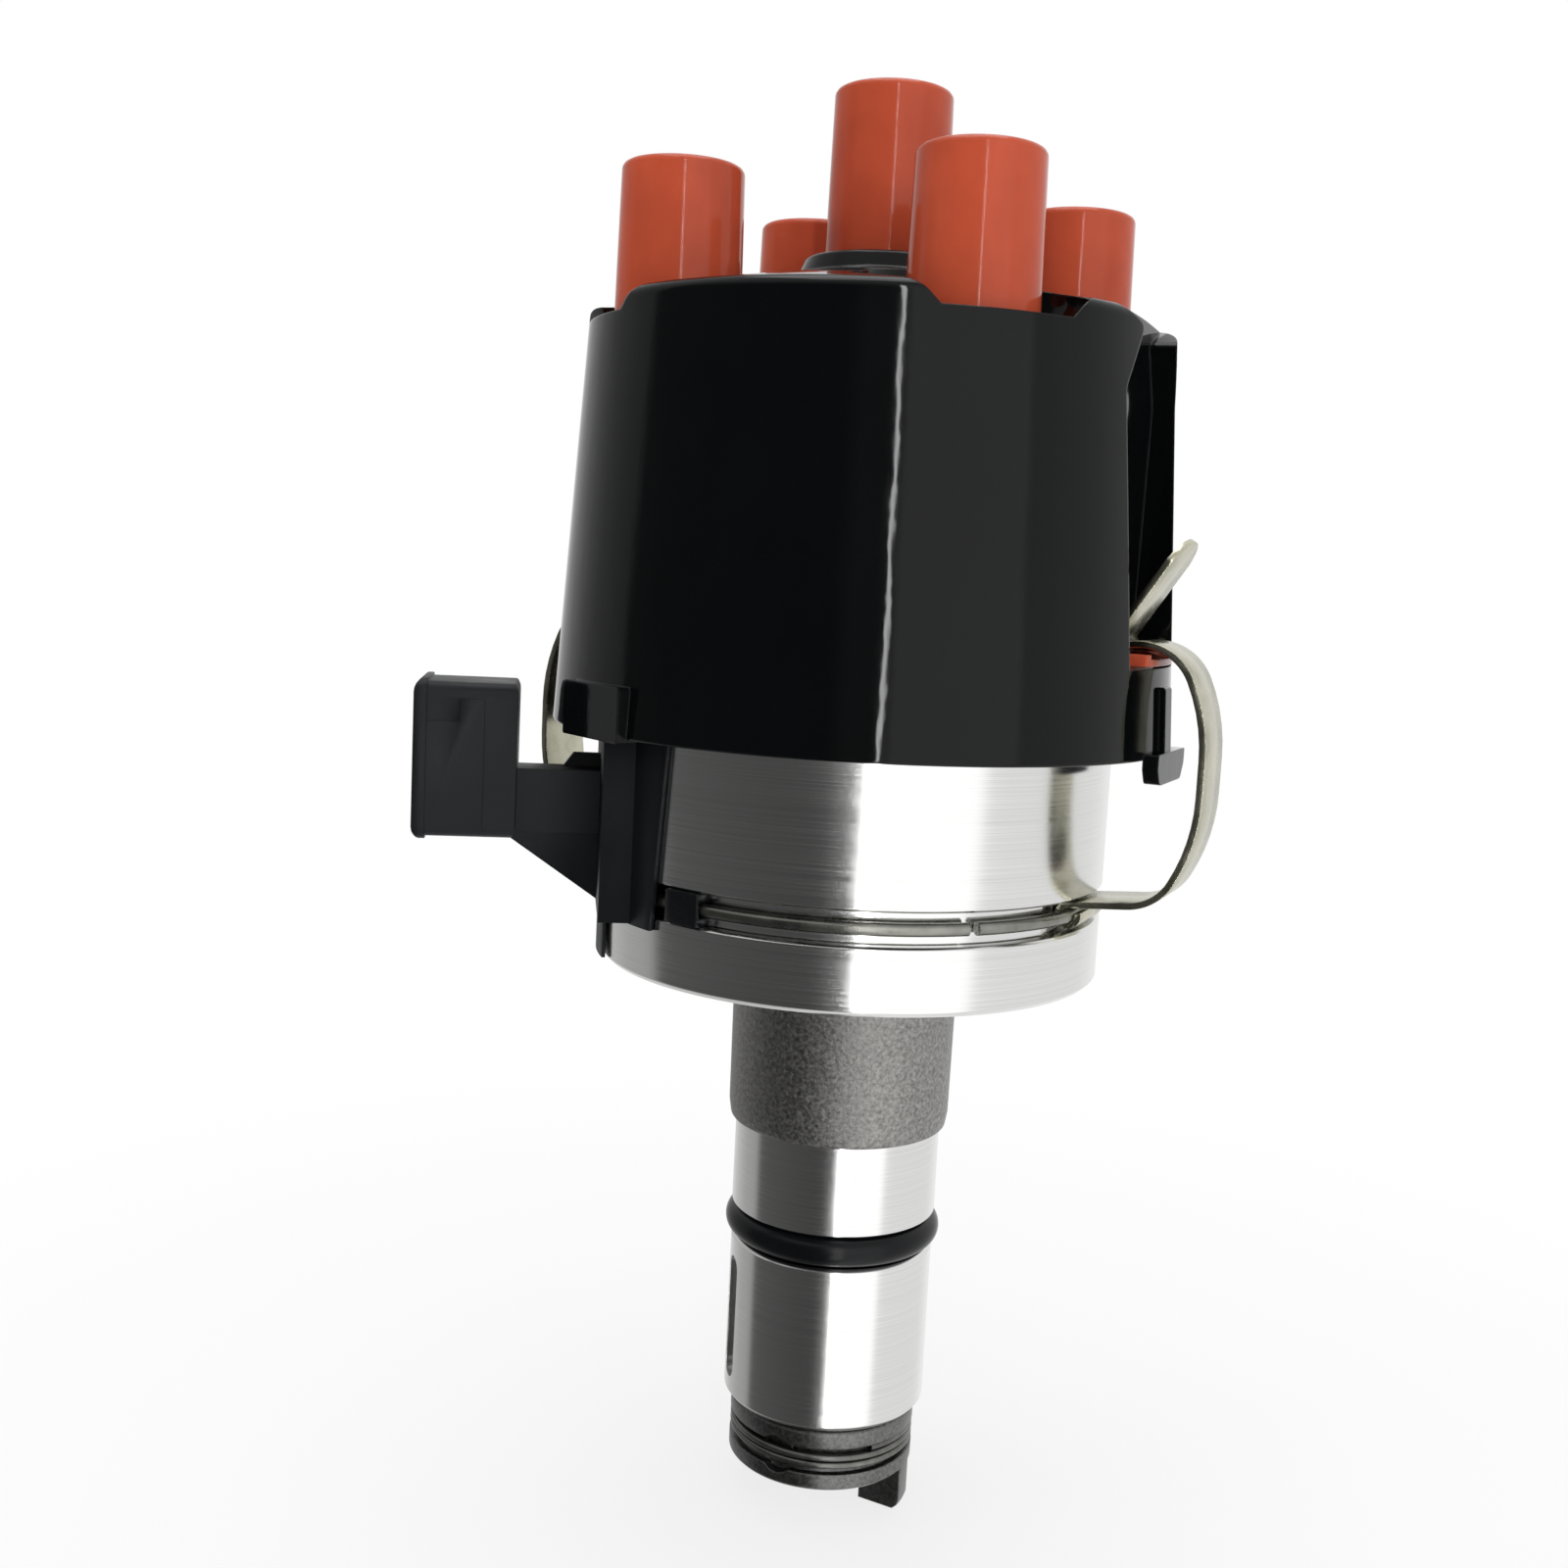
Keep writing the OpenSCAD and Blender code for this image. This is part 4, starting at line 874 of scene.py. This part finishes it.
def coil_tree():
    """A round wire swept along a coil that rises from Low, in metres and radians."""
    tree = bpy.data.node_groups.new("wire_coil", "GeometryNodeTree")
    face = tree.interface
    for name in ("Turns", "Radius", "Pitch", "Wire", "Low", "Start"):
        face.new_socket(name, in_out="INPUT", socket_type="NodeSocketFloat")
    face.new_socket("Finish", in_out="INPUT", socket_type="NodeSocketMaterial")
    face.new_socket("Geometry", in_out="OUTPUT", socket_type="NodeSocketGeometry")
    link = tree.links.new
    given = add_node(tree, "NodeGroupInput")
    spiral = add_node(tree, "GeometryNodeCurveSpiral", Resolution=COIL_STEPS)
    link(given.outputs["Turns"], spiral.inputs["Rotations"])
    link(given.outputs["Radius"], spiral.inputs["Start Radius"])
    link(given.outputs["Radius"], spiral.inputs["End Radius"])
    link(maths(tree, "MULTIPLY", given.outputs["Turns"], given.outputs["Pitch"]), spiral.inputs["Height"])
    wire = add_node(tree, "GeometryNodeCurvePrimitiveCircle", Resolution=WIRE_SIDES)
    link(given.outputs["Wire"], wire.inputs["Radius"])
    sweep = add_node(tree, "GeometryNodeCurveToMesh")
    sweep.inputs["Fill Caps"].default_value = True
    link(spiral.outputs["Curve"], sweep.inputs["Curve"])
    link(wire.outputs["Curve"], sweep.inputs["Profile Curve"])
    lift = add_node(tree, "ShaderNodeCombineXYZ")
    link(given.outputs["Low"], lift.inputs["Z"])
    swing = add_node(tree, "ShaderNodeCombineXYZ")
    link(given.outputs["Start"], swing.inputs["Z"])
    move = add_node(tree, "GeometryNodeTransform")
    link(sweep.outputs["Mesh"], move.inputs["Geometry"])
    link(lift.outputs["Vector"], move.inputs["Translation"])
    link(swing.outputs["Vector"], move.inputs["Rotation"])
    real = add_node(tree, "GeometryNodeRealizeInstances")
    link(move.outputs["Geometry"], real.inputs["Geometry"])
    paint = add_node(tree, "GeometryNodeSetMaterial")
    link(real.outputs["Geometry"], paint.inputs["Geometry"])
    link(given.outputs["Finish"], paint.inputs["Material"])
    result = add_node(tree, "NodeGroupOutput")
    link(paint.outputs["Geometry"], result.inputs["Geometry"])
    return tree


def wire_coil(tree, name, node, finish, turns, radius, pitch, wire, low, start=0.0):
    piece = new_piece(name, bpy.data.meshes.new(name))
    modifier = piece.modifiers.new("coil", "NODES")
    modifier.node_group = tree
    values = {"Turns": float(turns), "Radius": radius * MM, "Pitch": pitch * MM, "Wire": wire * MM,
              "Low": low * MM, "Start": math.radians(start), "Finish": FINISHES[finish]}
    for item in tree.interface.items_tree:
        if item.in_out == "INPUT":
            modifier[item.identifier] = values[item.name]
    apply_modifiers(piece)
    tidy(piece, COIL_CREASE)
    dress(piece, node, finish)
    return piece


def coils():
    tree = coil_tree()
    low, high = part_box("pin_retaining_spring")
    wire_coil(tree, "dog_coil", "pin_retaining_spring", "coil_steel", DOG_COIL_TURNS, DOG_COIL_R,
              DOG_COIL_PITCH, DOG_WIRE_R, low.z / MM + DOG_WIRE_R, DOG_COIL_START)
    low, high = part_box("brush_spring")
    length = high.z - low.z
    pitch = (length / MM - 2 * BRUSH_COIL_ROOM) / BRUSH_COIL_TURNS
    coil = wire_coil(tree, "brush_coil", "brush_spring", "ground_steel", BRUSH_COIL_TURNS, BRUSH_COIL_R,
                     pitch, BRUSH_WIRE_R, low.z / MM + BRUSH_COIL_ROOM)
    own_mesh(coil)


# Pieces whose CAD form is kept

def kept_pieces():
    for node, bevel in KEPT.items():
        piece = dressed_copy(node + "_dressed", node, bevel)
        if node == "hall_connector":
            lengthen_tab(piece, bevel)
        if node == "clip_ring_wire":
            dress(piece, node, "ring_wire")
        else:
            dress(piece, node)


def lengthen_tab(piece, bevel):
    """Moves the end of the connector's tab further down the edge of the flange."""
    for vertex in piece.data.vertices:
        if vertex.co.z < (TAB_LOW + 2 * bevel) * MM:
            vertex.co.z -= TAB_REACH * MM


def paint_nodes():
    """Gives every CAD node the finish of its slot, for those that no piece replaces."""
    for node, slot in SLOTS.items():
        mesh = frame["nodes"][node].data
        mesh.materials.clear()
        mesh.materials.append(FINISHES[slot])


# Studio

# The floor's radius and thickness are in millimetres, all other lengths from here in metres
FLOOR_R = 1800
FLOOR_THICKNESS = 1
FLOOR_GAP = 0.0004
FLOOR_COLOUR = (0.88, 0.88, 0.88, 1)
FLOOR_ROUGHNESS = 0.8

# Share of plain white in the floor near the object and far from it, and where each is reached
GLOW_SHARES = (0.78, 1)
GLOW_REACH = (0.06, 0.2)

# Brightness of the room by its direction from the object, in degrees to the right of the camera
ROOM = ((-180, 0.92), (-150, 0.62), (-122, 0.42), (-101, 0.38), (-96, 0.10), (-40, 0.07), (-14, 0.06),
        (-7, 0.17), (5, 0.13), (9, 1.35), (54, 1.35), (57, 0.88), (128, 0.86), (150, 0.95), (180, 0.98))
CEILING = 0.8
CEILING_FROM = (0.55, 0.85)
WINDOW_LIGHT = 1.35
SOFT_LIGHT = 0.42

# Aims of the lamps: the shoulder, and the middle of the object
SHOULDER_POINT = (0, 0, 0)
MIDDLE = (0, 0, 0.04)


def add_lamp(name, place, target, width, height, power):
    data = bpy.data.lights.new(name, "AREA")
    data.shape = "RECTANGLE"
    data.size, data.size_y = width, height
    data.energy = power
    lamp = bpy.data.objects.new(name, data)
    bpy.context.scene.collection.objects.link(lamp)
    lamp.location = place
    lamp.rotation_euler = (Vector(target) - Vector(place)).to_track_quat("-Z", "Y").to_euler()
    return lamp


def shown(tree):
    """One for the rays that see the background: straight on, in a reflection or through glass."""
    ray = add_node(tree, "ShaderNodeLightPath")
    value = ray.outputs["Is Camera Ray"]
    for name in ("Is Glossy Ray", "Is Transmission Ray"):
        value = maths(tree, "MAXIMUM", value, ray.outputs[name])
    return value


def studio_floor():
    """A round pale floor that takes the shadow and fades to white behind the object."""
    floor = rod("floor", FLOOR_R, 0, -FLOOR_THICKNESS)
    floor.data.transform(Matrix.Translation((0, 0, cad_box[0].z - FLOOR_GAP)))
    material, tree, shader = new_material("pale_floor")
    shader.inputs["Base Color"].default_value = FLOOR_COLOUR
    shader.inputs["Roughness"].default_value = FLOOR_ROUGHNESS
    glow = add_node(tree, "ShaderNodeEmission", Color=(1, 1, 1, 1), Strength=1.0)
    where = add_node(tree, "ShaderNodeTexCoord")
    far = add_node(tree, "ShaderNodeVectorMath", operation="LENGTH")
    tree.links.new(where.outputs["Object"], far.inputs[0])
    fade = spread(tree, far.outputs["Value"], *GLOW_SHARES, *GLOW_REACH)
    share = maths(tree, "MULTIPLY", fade, shown(tree))
    surface = mixed_shaders(tree, share, shader.outputs["BSDF"], glow.outputs["Emission"])
    tree.links.new(surface, tree.nodes["Material Output"].inputs["Surface"])
    floor.data.materials.append(material)
    floor.visible_glossy = False


def grey(level):
    """A level of the room as a plain colour, before the window's strength is put on it."""
    return (level / WINDOW_LIGHT,) * 3


def studio_room():
    """White behind the object, bright to the right of the camera, dark to its left and pale above."""
    world = bpy.context.scene.world or bpy.data.worlds.new("studio")
    bpy.context.scene.world = world
    world.use_nodes = True
    tree = world.node_tree
    link = tree.links.new
    where = add_node(tree, "ShaderNodeTexCoord")
    turned = add_node(tree, "ShaderNodeMapping", Rotation=(0, 0, -math.atan2(BACK.x, -BACK.y)))
    link(where.outputs["Generated"], turned.inputs["Vector"])
    parts = add_node(tree, "ShaderNodeSeparateXYZ")
    link(turned.outputs["Vector"], parts.inputs["Vector"])
    front = maths(tree, "MULTIPLY", parts.outputs["Y"], -1)
    angle = maths(tree, "ARCTAN2", parts.outputs["X"], front)
    ramp = add_node(tree, "ShaderNodeValToRGB")
    elements = ramp.color_ramp.elements
    for i, (degrees, level) in enumerate(ROOM):
        place = (degrees + 180) / 360
        element = elements[i] if i < 2 else elements.new(place)
        element.position = place
        element.color = (*grey(level), 1)
    link(spread(tree, angle, 0, 1, -math.pi, math.pi), ramp.inputs["Fac"])
    up = spread(tree, parts.outputs["Z"], 0, 1, *CEILING_FROM)
    room = blended(tree, up, ramp.outputs["Color"], grey(CEILING))
    ray = add_node(tree, "ShaderNodeLightPath")
    view = add_node(tree, "ShaderNodeBackground", Strength=WINDOW_LIGHT)
    link(blended(tree, ray.outputs["Is Camera Ray"], room, grey(1)), view.inputs["Color"])
    soft = tree.nodes["Background"]
    soft.inputs["Color"].default_value = (1, 1, 1, 1)
    soft.inputs["Strength"].default_value = SOFT_LIGHT
    surface = mixed_shaders(tree, shown(tree), soft.outputs["Background"], view.outputs["Background"])
    link(surface, tree.nodes["World Output"].inputs["Surface"])


def from_camera(angle, distance, height):
    """A place at an angle to the right of the camera, seen from the object's axis."""
    turn = math.radians(angle) - math.atan2(-BACK.x, -BACK.y)
    return (distance * math.sin(turn), -distance * math.cos(turn), height)


def studio():
    """Floor, room, a thin strip for the upright highlight, and three soft lamps."""
    studio_floor()
    studio_room()
    strip_place = from_camera(angle=4.8, distance=0.8, height=0.0)
    window_place = from_camera(angle=35, distance=0.9, height=0.2)
    fill_place = from_camera(angle=-70, distance=1.0, height=0.45)
    top_place = (0.0, 0.05, 0.9)
    add_lamp("strip", strip_place, SHOULDER_POINT, width=0.02, height=1.6, power=2.2)
    window = add_lamp("window", window_place, MIDDLE, width=0.8, height=0.8, power=2.6)
    fill = add_lamp("fill", fill_place, MIDDLE, width=0.4, height=0.3, power=1.2)
    add_lamp("top", top_place, MIDDLE, width=0.6, height=0.6, power=3.4)
    for lamp in (window, fill):
        lamp.visible_glossy = False


housing_casting()
lead_towers()
screening_shell()
kept_pieces()
coils()
paint_nodes()
studio()
